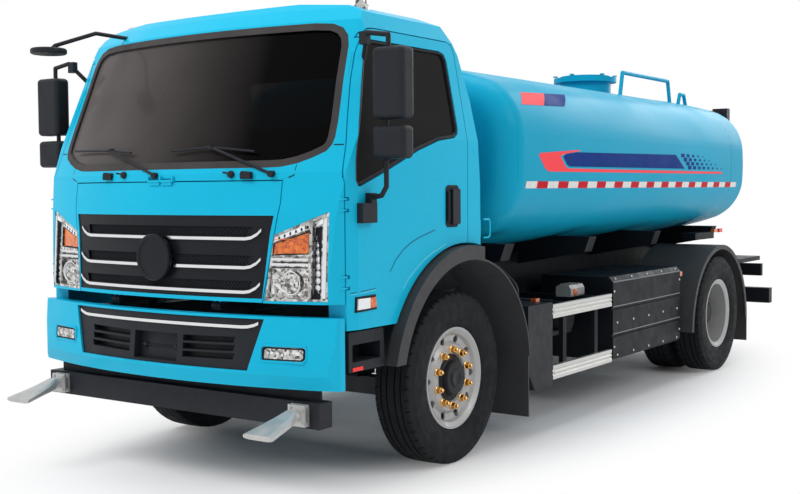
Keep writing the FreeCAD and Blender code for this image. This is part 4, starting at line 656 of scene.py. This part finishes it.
# Cowl: (x, height) of its fittings, paths of its seams (x, height), width, lift and step
WIPER_PIVOTS = ((0.488, 1.706), (-0.314, 1.712))
PIVOT_CAP = [(0.0, 0.020), (-0.010, 0.020), (-0.020, 0.014), (-0.022, 0.0)]
PIVOT_AXIS = (0, 1, 0.15)
PIVOT_STUB = ((0, -0.012, 0.004), (-0.045, -0.020, 0.010))
PIVOT_STUB_RADIUS = 0.005
WASHER_JETS = ((-0.455, 1.708), (0.586, 1.702))
JET_OFFSET = (-0.034, -0.022, -0.022)
JET_CORNERS = [(0, 0, 0), (0.068, 0, 0), (0.068, 0, 0.036), (0.010, 0, 0.042), (0, 0, 0.030)]
JET_DEPTH = 0.026
COWL_SEAMS = [
    ([(0.862, 1.752), (0.858, 1.700)], 0.004, 0.0008, 0.05),
    ([(0.795, 1.674), (0.860, 1.697)], 0.006, 0.0008, 0.05),
    ([(1.038, 1.8505), (1.090, 1.8505)], 0.006, 0.0008, 0.05),
    ([(1.026, 2.335), (1.030, 2.300), (1.034, 2.215)], 0.012, 0.0012, 0.02)]
# The small loop behind the cab, (distance behind the front axle, height)
LOOP_X = 1.105
LOOP_RADIUS = 0.007
LOOP = [(0.286, 1.435), (0.352, 1.435), (0.366, 1.420), (0.366, 1.340), (0.352, 1.325), (0.286, 1.325)]
TILT_PIN = (behind(-1.262), 1.012)
TILT_CAP = [(0.0, 0.0), (0.0, 0.0225), (0.019, 0.0225), (0.019, 0.0)]
TILT_CAP_STARTS = (0.3595, 0.4015)


def cowl():
    skin = Skin("cab_shell", "windscreen_seal")
    black, seams, loops, caps = forms(4)
    for x, z in WIPER_PIVOTS:
        spot = skin.at("front", x, z)
        black.turned(PIVOT_CAP, spot, PIVOT_AXIS, count=16)
        black.tube([spot + Vector(offset) for offset in PIVOT_STUB], PIVOT_STUB_RADIUS)
    for x, z in WASHER_JETS:
        low = skin.at("front", x, z) + Vector(JET_OFFSET)
        black.slab([low + Vector(corner) for corner in JET_CORNERS], (0, JET_DEPTH, 0))
    for side in (1, -1):
        for path, width, lift, step in COWL_SEAMS:
            seams.ribbon(skin, "front", [(side * x, z) for x, z in path], width, lift, step)
        loops.tube([(side * LOOP_X, behind(y), z) for y, z in LOOP], LOOP_RADIUS)
    for start in TILT_CAP_STARTS:
        caps.turned(TILT_CAP, (start, *TILT_PIN), OUTWARD)
    all_made("cab", [(black, "cowl_fittings", "black_plastic"), (seams, "cowl_seams", "rubber_black"),
                     (loops, "cab_rear_loops", "body_paint"), (caps.both(), "pivot_caps", "rubber_black")])


# Bumper: the fog lamp's rim, case and filling from the outside in, (x, height)
FOG_RIM_RADIUS = 0.0075
FOG_RIM = [
    (0.722, 0.744), (0.955, 0.744), (0.972, 0.762), (0.972, 0.812), (0.958, 0.827), (0.732, 0.827),
    (0.718, 0.812), (0.716, 0.752)]
FOG_CASE = [
    (0.730, 0.752), (0.950, 0.752), (0.964, 0.766), (0.964, 0.808), (0.952, 0.819), (0.738, 0.819),
    (0.726, 0.806), (0.724, 0.758)]
FOG_FACETS = [
    (0.742, 0.760), (0.944, 0.760), (0.955, 0.770), (0.955, 0.803), (0.946, 0.811), (0.748, 0.811),
    (0.738, 0.800), (0.737, 0.766)]
PLATE_HEIGHT = 0.775
PLATE_HALF = 0.150
PLATE_KNOB_X = 0.118
PLATE_ROD_LIFT, PLATE_ROD_RADIUS = 0.010, 0.004
PLATE_KNOB = [(0.004, 0.014), (-0.014, 0.014), (-0.018, 0.009), (-0.018, 0.0)]
STEP_REFLECTOR = rectangle(-1.078, 0.694, -0.990, 0.713)


def bumper_trim():
    skin = Skin("fog_lamps", "bumper")
    rims, dark, facets, plate, red = forms(5)
    path = [skin.at("front", x, z, lift=0.003) for x, z in FOG_RIM]
    rims.tube(path + [path[0]], FOG_RIM_RADIUS)
    dark.patch(skin, "front", FOG_CASE, lift=0.003, step=0.03)
    facets.patch(skin, "front", FOG_FACETS, lift=0.006, step=0.02)
    all_made("chassis", [(rims, "fog_lamp_rims", "body_paint"), (dark, "fog_lamp_cases", "rubber_black"),
                         (facets, "fog_lamp_facets", "bowl_facets")], both=True)
    panel = Skin("bumper_grille")
    ends = [panel.at("front", x, PLATE_HEIGHT, PLATE_ROD_LIFT) for x in (-PLATE_HALF, PLATE_HALF)]
    plate.tube(ends, PLATE_ROD_RADIUS)
    for x in (-PLATE_KNOB_X, PLATE_KNOB_X):
        plate.turned(PLATE_KNOB, panel.at("front", x, PLATE_HEIGHT), REARWARD, count=16)
    steps = Skin("steps")
    for side, _ in SIDES:
        red.patch(steps, side, STEP_REFLECTOR, lift=0.004, thick=0.004)
    all_made("chassis", [(plate, "plate_holder", "black_plastic"), (red, "step_reflectors", "reflector")])


# Doors: outlines and paths, (distance behind the front axle, height)
WINDOW = [
    (-1.027, 1.638), (-1.043, 1.668), (-1.043, 1.770), (-1.035, 1.849), (-0.995, 1.975), (-0.952, 2.099),
    (-0.904, 2.236), (-0.861, 2.355), (-0.833, 2.392), (-0.785, 2.410), (-0.125, 2.410), (-0.080, 2.396),
    (-0.060, 2.360), (-0.050, 1.970), (-0.062, 1.935), (-0.100, 1.912), (-0.265, 1.892), (-0.470, 1.832),
    (-0.775, 1.716), (-1.003, 1.638)]
RUBBER_INWARD, RUBBER_LIFT, RUBBER_RADIUS = 0.010, 0.004, 0.0105
LAMP_FRONT, LAMP_SPLIT, LAMP_REAR = -1.052, -0.941, -0.891
LAMP_FOOT, LAMP_HEAD = 1.004, 1.068
LAMP_CASE = [
    (LAMP_FRONT - 0.006, LAMP_FOOT - 0.010), (LAMP_REAR + 0.010, LAMP_FOOT - 0.004),
    (LAMP_REAR + 0.002, LAMP_HEAD + 0.008), (LAMP_FRONT - 0.002, LAMP_HEAD + 0.006)]
LAMP_CLEAR = [
    (LAMP_FRONT + 0.006, LAMP_FOOT + 0.004), (LAMP_SPLIT - 0.004, LAMP_FOOT + 0.006),
    (LAMP_SPLIT - 0.004, LAMP_HEAD - 0.004), (LAMP_FRONT + 0.010, LAMP_HEAD - 0.004)]
LAMP_AMBER = [
    (LAMP_SPLIT, LAMP_FOOT + 0.006), (LAMP_REAR, LAMP_FOOT + 0.008), (LAMP_REAR - 0.004, LAMP_HEAD - 0.004),
    (LAMP_SPLIT, LAMP_HEAD - 0.004)]
# Lines on the door, painted shade and painted highlights along its crease, ridge and lamp ledge: (name,
# finish, path, width, step)
DOOR_LINES = [
    ("door_crease_shade", "shade_blue", [(-0.753, 1.184), (-0.700, 1.245), (-0.621, 1.300), (-0.545, 1.334),
                                   (-0.466, 1.358), (-0.315, 1.392)], 0.007, 0.03),
    ("door_ridge_highlight", "painted_highlight_blue", [(-0.634, 1.085), (-0.580, 1.140), (-0.517, 1.180), (-0.435, 1.228),
                                  (-0.347, 1.264), (-0.201, 1.308)], 0.007, 0.03),
    ("ledge_shade", "shade_blue", [(-1.085, 1.094), (-0.880, 1.107)], 0.005, 0.05),
    ("ledge_highlight", "painted_highlight_blue", [(-1.085, 1.088), (-0.880, 1.100)], 0.005, 0.05)]
LINE_LIFT = 0.0010
HANDLE_CASE = [
    (-0.186, 1.403), (-0.088, 1.403), (-0.070, 1.420), (-0.066, 1.625), (-0.084, 1.642), (-0.184, 1.642),
    (-0.203, 1.624), (-0.205, 1.420)]
PULL_Y = behind(-0.186)
PULL_X = 1.160
PULL_FOOT_X = (1.148, 1.161)
PULL_ENDS = (1.440, 1.600)
PULL_RADIUS = 0.0095
MIRROR_CLAMP = ((1.112, behind(-0.958), 2.362), (1.160, behind(-0.922), 2.428))
# The two mirrors' glass: (distance behind the front axle, foot, head)
MIRROR_PANES = ((-0.8945, 1.995, 2.315), (-0.8995, 1.795, 1.922))
MIRROR_INNER_X, MIRROR_OUTER_X = 1.242, 1.393
PANE_THICKNESS = 0.003


def mirrored(sign, point):
    return (sign * point[0], point[1], point[2])


def doors():
    for side, sign in SIDES:
        panel = Skin("door_" + side)
        whole = Skin("door_" + side, "door_glass_" + side)
        rubber, surround, clear, amber, case, pull, glass = forms(7)
        path = []
        for index, (u, v) in enumerate(WINDOW):
            before, after = WINDOW[index - 1], WINDOW[(index + 1) % len(WINDOW)]
            along = Vector((after[0] - before[0], after[1] - before[1])).normalized()
            spot = whole.at(side, u + along.y * RUBBER_INWARD, v - along.x * RUBBER_INWARD, RUBBER_LIFT)
            if spot is not None:
                path.append(spot)
        rubber.tube(path + [path[0]], RUBBER_RADIUS, count=6)
        surround.patch(panel, side, LAMP_CASE, lift=0.006, thick=0.006)
        clear.patch(panel, side, LAMP_CLEAR, lift=0.012, thick=0.007)
        amber.patch(panel, side, LAMP_AMBER, lift=0.012, thick=0.007)
        rows = [(rubber, "window_rubber_", "rubber_black"), (surround, "side_lamp_case_", "rubber_black"),
                (clear, "side_lamp_", "lamp_clear"), (amber, "side_lamp_amber_", "amber")]
        # flat strips that paint the shade and highlights of the door's crease, ridge and lamp ledge
        for name, finish, line, width, step in DOOR_LINES:
            rows.append((Form().ribbon(panel, side, line, width, LINE_LIFT, step), name + "_", finish))
        case.patch(panel, side, HANDLE_CASE, lift=0.004, thick=0.004, step=0.03)
        pull.tube([(sign * PULL_X, PULL_Y, z) for z in PULL_ENDS], PULL_RADIUS, count=10)
        for z in PULL_ENDS:
            pull.tube([(sign * x, PULL_Y, z) for x in PULL_FOOT_X], PULL_RADIUS, count=10)
        pull.block(*(mirrored(sign, corner) for corner in MIRROR_CLAMP))
        for y, foot, head in MIRROR_PANES:
            corners = rectangle(sign * MIRROR_INNER_X, foot, sign * MIRROR_OUTER_X, head)
            glass.slab([(x, behind(y), z) for x, z in corners], (0, PANE_THICKNESS, 0))
        rows += [(case, "handle_case_", "rubber_black"), (pull, "door_trim_", "black_plastic"),
                 (glass, "mirror_glass_", "mirror_glass")]
        all_made(side + "_door", [(form, name + side, finish) for form, name, finish in rows])


# Chassis sides
SIDE_X = 1.150
GUARD_FRONT = behind(1.120)
GUARD_LENGTH = 0.935
GUARD_FEET = (0.345, 0.755)
GUARD_TOP = 0.847
# The grooved rail's section, (across, up)
GUARD_SECTION = [
    (-0.028, 0.0), (0.0, 0.0), (0.0, 0.024), (-0.005, 0.028), (-0.005, 0.036), (0.0, 0.040), (0.0, 0.052),
    (-0.005, 0.056), (-0.005, 0.064), (0.0, 0.068), (0.0, 0.092), (-0.028, 0.092)]
POST_PLACES = (0.200, 0.700)
POST_WIDTH = 0.050
POST_X = (SIDE_X - 0.060, SIDE_X - 0.0275)
ARM_X = (0.430, SIDE_X - 0.050)
ARM_FOOT = 0.790


def side_guards():
    """The two grooved rails, with their posts and arms in black."""
    rails, posts = forms(2)
    for foot in GUARD_FEET:
        rails.slab([(SIDE_X + x, GUARD_FRONT, foot + z) for x, z in GUARD_SECTION], (0, GUARD_LENGTH, 0))
    for along in POST_PLACES:
        y = GUARD_FRONT + along
        posts.block((POST_X[0], y, GUARD_FEET[0]), (POST_X[1], y + POST_WIDTH, GUARD_TOP))
        posts.block((ARM_X[0], y, ARM_FOOT), (ARM_X[1], y + POST_WIDTH, GUARD_TOP))
    rails.both()
    posts.both()
    first_post_face = len(rails.faces)
    rails.add(posts.points, posts.faces)
    thing = rails.made("side_guards_dressed", "rail_aluminium", "chassis", smooth=20)
    thing.data.materials.append(FINISH["chassis_paint"])
    for face in thing.data.polygons:
        if face.index >= first_post_face:
            face.material_index = 1
    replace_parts(thing, "side_guards")


BOLT = [(-0.002, 0.009), (0.004, 0.009), (0.007, 0.005), (0.007, 0.0)]
GUARD_BOLT = [(-0.002, 0.009), (0.005, 0.009), (0.008, 0.005), (0.008, 0.0)]
SMALL_BOLT = [(-0.002, 0.008), (0.004, 0.008), (0.006, 0.004), (0.006, 0.0)]
# Groups of bolts: (profile, x, distances behind the front axle, heights, axis)
SIDE_BOLTS = [
    (GUARD_BOLT, SIDE_X - 0.004, (1.145, 2.030), (0.800, 0.390), OUTWARD),
    (BOLT, SIDE_X, (2.095, 3.385), (0.860, 0.450), OUTWARD),
    (SMALL_BOLT, 1.130, (0.712,), (0.300, 0.400, 0.500), REARWARD)]
BOLT_SIDES = 12
# The battery box: heights of the light grey lines painted as highlights on its ledges, and rows of bolts as
# (height, x)
LEDGE_HEIGHTS = (0.929, 0.747, 0.547)
LEDGE_X = SIDE_X - 0.001
LEDGE_RADIUS = 0.0045
BOX_FRONT, BOX_REAR = behind(2.080), behind(3.400)
BOX_BOLT_ROWS = ((0.948, SIDE_X - 0.018), (0.625, SIDE_X), (0.385, SIDE_X))
BOX_BOLTS = [behind(2.150 + number * 0.295) for number in range(5)]
# Marker lamps, each from its low to its high corner
AMBER_MARKERS = [
    ((1.110, behind(3.404), 0.884), (1.146, behind(3.462), 0.922)),
    ((1.026, behind(4.500), 1.210), (1.052, behind(4.590), 1.238)),
    ((1.020, behind(1.045), 0.864), (1.060, behind(1.098), 0.888))]
RED_MARKER = ((1.026, behind(4.640), 1.205), (1.050, behind(4.720), 1.240))
# The tail lamp's segments, which start at these x: one amber and two red
TAIL_AMBER, TAIL_REDS = 0.755, (0.865, 0.975)
TAIL_WIDTH, TAIL_FOOT, TAIL_HEAD = 0.085, 0.768, 0.832
TAIL_FACES = (behind(5.7385), behind(5.745))
# The small grey unit: section (x, height), ribs and cap
UNIT_SECTION = [
    (0.90, 0.848), (1.01, 0.848), (1.018, 0.858), (1.018, 0.905), (1.00, 0.930), (0.92, 0.930), (0.90, 0.915)]
UNIT_FRONT, UNIT_LENGTH = behind(1.650), 0.220
UNIT_RIBS = [behind(distance) for distance in (1.690, 1.750, 1.810)]
RIB_X, RIB_Z, RIB_WIDTH = (0.915, 1.000), (0.925, 0.938), 0.010
UNIT_CAP = [(0.0, 0.026), (0.008, 0.024), (0.014, 0.014), (0.015, 0.0)]
UNIT_CAP_PLACE = (1.017, behind(1.715), 0.880)
# The rear fender's edge lines, light grey painted highlights: (x, radius) about a centre (distance behind the
# front axle, height)
FENDER_CENTRE = (4.200, 0.408)
FENDER_EDGES = ((1.2212, 0.7015), (1.2212, 0.6685), (0.660, 0.7015))
FENDER_STEPS = 48
FENDER_LINE_RADIUS = 0.0034


def side_trim():
    battery_highlights, bolts, amber, red, unit, edges = forms(6)
    # light grey bars along the battery box's ledges, painted highlights
    for z in LEDGE_HEIGHTS:
        battery_highlights.tube([(LEDGE_X, BOX_FRONT, z), (LEDGE_X, BOX_REAR, z)], LEDGE_RADIUS, count=6)
    for z, x in BOX_BOLT_ROWS:
        for y in BOX_BOLTS:
            bolts.turned(BOLT, (x, y, z), OUTWARD, BOLT_SIDES)
    for profile, x, places, heights, axis in SIDE_BOLTS:
        for y in places:
            for z in heights:
                bolts.turned(profile, (x, behind(y), z), axis, BOLT_SIDES)
    for low, high in AMBER_MARKERS:
        amber.block(low, high)
    red.block(*RED_MARKER)
    for form, starts in ((amber, (TAIL_AMBER,)), (red, TAIL_REDS)):
        for x in starts:
            form.block((x, TAIL_FACES[0], TAIL_FOOT), (x + TAIL_WIDTH, TAIL_FACES[1], TAIL_HEAD))
    unit.slab([(x, UNIT_FRONT, z) for x, z in UNIT_SECTION], (0, UNIT_LENGTH, 0))
    for y in UNIT_RIBS:
        unit.block((RIB_X[0], y, RIB_Z[0]), (RIB_X[1], y + RIB_WIDTH, RIB_Z[1]))
    amber.turned(UNIT_CAP, UNIT_CAP_PLACE, OUTWARD, count=20)
    # light grey arcs along the rear fender's edges, painted highlights
    centre_y, centre_z = behind(FENDER_CENTRE[0]), FENDER_CENTRE[1]
    for x, radius in FENDER_EDGES:
        arc = [math.pi * number / FENDER_STEPS for number in range(FENDER_STEPS + 1)]
        edges.tube([(x, centre_y + radius * math.cos(a), centre_z + radius * math.sin(a)) for a in arc],
                   FENDER_LINE_RADIUS, count=6)
    all_made("chassis", [
        (battery_highlights, "battery_ledge_highlights", "painted_highlight_grey"), (bolts, "side_bolts", "bright_steel"),
        (amber, "side_markers", "amber"), (red, "side_reflectors", "reflector"),
        (unit, "side_unit", "unit_grey"), (edges, "fender_edge_highlights", "painted_highlight_grey")], both=True)


# Tank seams and the manhole lid's clamps
WELDS = (0.560, 4.480)
WELD_STEPS = 96
WELD_RADIUS = 0.0032
TANK_MIDDLE = 1.830
# The rays that look for the tank's section start this far from its middle
RAY_REACH = 3.0
LID_Y = behind(4.0)
CLAMPS, CLAMP_CIRCLE, CLAMP_HALF = 6, 0.270, 0.016
CLAMP_FOOT, CLAMP_HEAD = 2.640, 2.652
LID_BOSS = [(0.0, 0.060), (0.010, 0.058), (0.012, 0.0)]
LID_BOSS_FOOT = 2.642


def tank_fittings():
    skin = Skin("tank")
    welds, clamps = forms(2)
    for y in WELDS:
        path = []
        for across, up in circle_of(WELD_STEPS, 1.0):
            out = Vector((across, 0, up))
            start = Vector((0, behind(y), TANK_MIDDLE)) + out * RAY_REACH
            path.append(skin.tree.ray_cast(start, -out)[0] - out * PAINT_LIFT)
        welds.tube(path + [path[0]], WELD_RADIUS, count=6)
    welds.made("tank_welds", "tank_paint", "chassis")
    for x, y in circle_of(CLAMPS, CLAMP_CIRCLE, 0.5):
        clamps.block((x - CLAMP_HALF, LID_Y + y - CLAMP_HALF, CLAMP_FOOT),
                     (x + CLAMP_HALF, LID_Y + y + CLAMP_HALF, CLAMP_HEAD))
    clamps.turned(LID_BOSS, (0, LID_Y, LID_BOSS_FOOT), UPWARD)
    clamps.made("lid_clamps", "tank_paint", "lid")


# Stage, light and camera
WORLD_COLOUR = (0.93, 0.96, 1.0, 1)
WORLD_LEVEL = 0.52
FLOOR_HALF = 60.0
# The floor goes over to white outside an ellipse of these half lengths, between these shares of them
FLOOR_ELLIPSE = (1.9, 4.4)
FLOOR_FADE = (0.58, 1.12)


def white_share(tree):
    """One for the rays that should meet the white background, seen or mirrored or through glass."""
    path = tree.nodes.new("ShaderNodeLightPath")
    total = path.outputs["Is Camera Ray"]
    for kind in ("Is Glossy Ray", "Is Transmission Ray"):
        more = tree.nodes.new("ShaderNodeMath")
        more.operation = "MAXIMUM"
        tree.links.new(total, more.inputs[0])
        tree.links.new(path.outputs[kind], more.inputs[1])
        total = more.outputs[0]
    return total


def backdrop_world():
    world = bpy.data.worlds.new("studio")
    bpy.context.scene.world = world
    world.use_nodes = True
    tree = world.node_tree
    tree.nodes.clear()
    out = tree.nodes.new("ShaderNodeOutputWorld")
    mix = tree.nodes.new("ShaderNodeMixShader")
    tree.links.new(white_share(tree), mix.inputs[0])
    for place, colour, level in ((1, WORLD_COLOUR, WORLD_LEVEL), (2, WHITE, 1.0)):
        background = tree.nodes.new("ShaderNodeBackground")
        background.inputs["Color"].default_value = colour
        background.inputs["Strength"].default_value = level
        tree.links.new(background.outputs[0], mix.inputs[place])
    tree.links.new(mix.outputs[0], out.inputs[0])


def floor():
    mesh = bpy.data.meshes.new("floor")
    corners = rectangle(-FLOOR_HALF, -FLOOR_HALF, FLOOR_HALF, FLOOR_HALF)
    mesh.from_pydata([(x, y, 0) for x, y in corners], [], [(0, 1, 2, 3)])
    thing = bpy.data.objects.new("floor", mesh)
    bpy.context.scene.collection.objects.link(thing)
    m = Nodes("floor_paint")
    m.set(Base_Color=m.clouded(3.0, 3.0, (0.88, 0.88, 0.88), (0.90, 0.90, 0.90)), Roughness=0.8)
    glow = m.new("ShaderNodeEmission", Color=WHITE, Strength=1.0)
    scaled = m.new("ShaderNodeMapping", Vector=m.place, Scale=(*(1 / half for half in FLOOR_ELLIPSE), 1.0))
    far = m.new("ShaderNodeVectorMath", Vector=scaled.outputs[0])
    far.operation = "LENGTH"
    fade = m.span(far.outputs["Value"], *FLOOR_FADE)
    fade.interpolation_type = "SMOOTHSTEP"
    share = m.new("ShaderNodeMath")
    share.operation = "MULTIPLY"
    m.links.new(white_share(m.tree), share.inputs[0])
    m.links.new(fade.outputs[0], share.inputs[1])
    mix = m.new("ShaderNodeMixShader")
    for place, source in enumerate((share, m.shader, glow)):
        m.links.new(source.outputs[0], mix.inputs[place])
    m.links.new(mix.outputs[0], m.tree.nodes["Material Output"].inputs[0])
    mesh.materials.append(m.material)


# Soft lamps: (name, place, aim, size, power, whether it shows in glossy surfaces)
LAMPS = [
    ("key", (-3.0, -9.0, 9.0), (0, -1.5, 1.0), 6.0, 640, False),
    ("side", (11.0, -1.0, 8.5), (0, 0.5, 1.0), 7.0, 400, True),
    ("top", (0.0, 1.0, 12.0), (0, 0.5, 0.0), 8.0, 460, True),
    ("back", (2.0, 13.0, 6.4), (1.2, 0.5, 2.0), 8.0, 430, True)]


def lights():
    for name, place, aim, size, power, mirrored_too in LAMPS:
        data = bpy.data.lights.new(name, "AREA")
        data.shape = "DISK"
        data.size = size
        data.energy = power
        thing = bpy.data.objects.new(name, data)
        bpy.context.scene.collection.objects.link(thing)
        thing.location = place
        thing.rotation_euler = (Vector(aim) - Vector(place)).to_track_quat("-Z", "Y").to_euler()
        thing.visible_glossy = mirrored_too


# The camera's place and angles in degrees come from its fit to the photograph; focal length in pixels
CAMERA_PLACE = (4.636, -7.849, 1.618)
CAMERA_TURN = 34.83
CAMERA_PITCH = 2.869
CAMERA_ROLL = -0.421
CAMERA_FOCAL = 1141.08
PHOTO_WIDTH = 800
SENSOR = 36.0
CLIP_END = 300


def camera():
    turn, pitch, roll = (math.radians(a) for a in (CAMERA_TURN, CAMERA_PITCH, CAMERA_ROLL))
    ahead = Vector((-math.sin(turn) * math.cos(pitch), math.cos(turn) * math.cos(pitch), -math.sin(pitch)))
    right = ahead.cross(Vector(UPWARD)).normalized()
    up = right.cross(ahead)
    tilted_right = right * math.cos(roll) + up * math.sin(roll)
    tilted_up = up * math.cos(roll) - right * math.sin(roll)
    data = bpy.data.cameras.new("camera")
    data.sensor_width = SENSOR
    data.lens = SENSOR * CAMERA_FOCAL / PHOTO_WIDTH
    data.clip_end = CLIP_END
    thing = bpy.data.objects.new("camera", data)
    bpy.context.scene.collection.objects.link(thing)
    basis = Matrix((tilted_right, tilted_up, -ahead)).transposed()
    thing.matrix_world = Matrix.Translation(CAMERA_PLACE) @ basis.to_4x4()
    bpy.context.scene.camera = thing


dress_frame()
wheels()
tank_livery()
headlights()
grille_mesh()
cowl()
bumper_trim()
doors()
side_guards()
side_trim()
tank_fittings()
backdrop_world()
floor()
lights()
camera()
bpy.context.scene.view_settings.view_transform = "Standard"
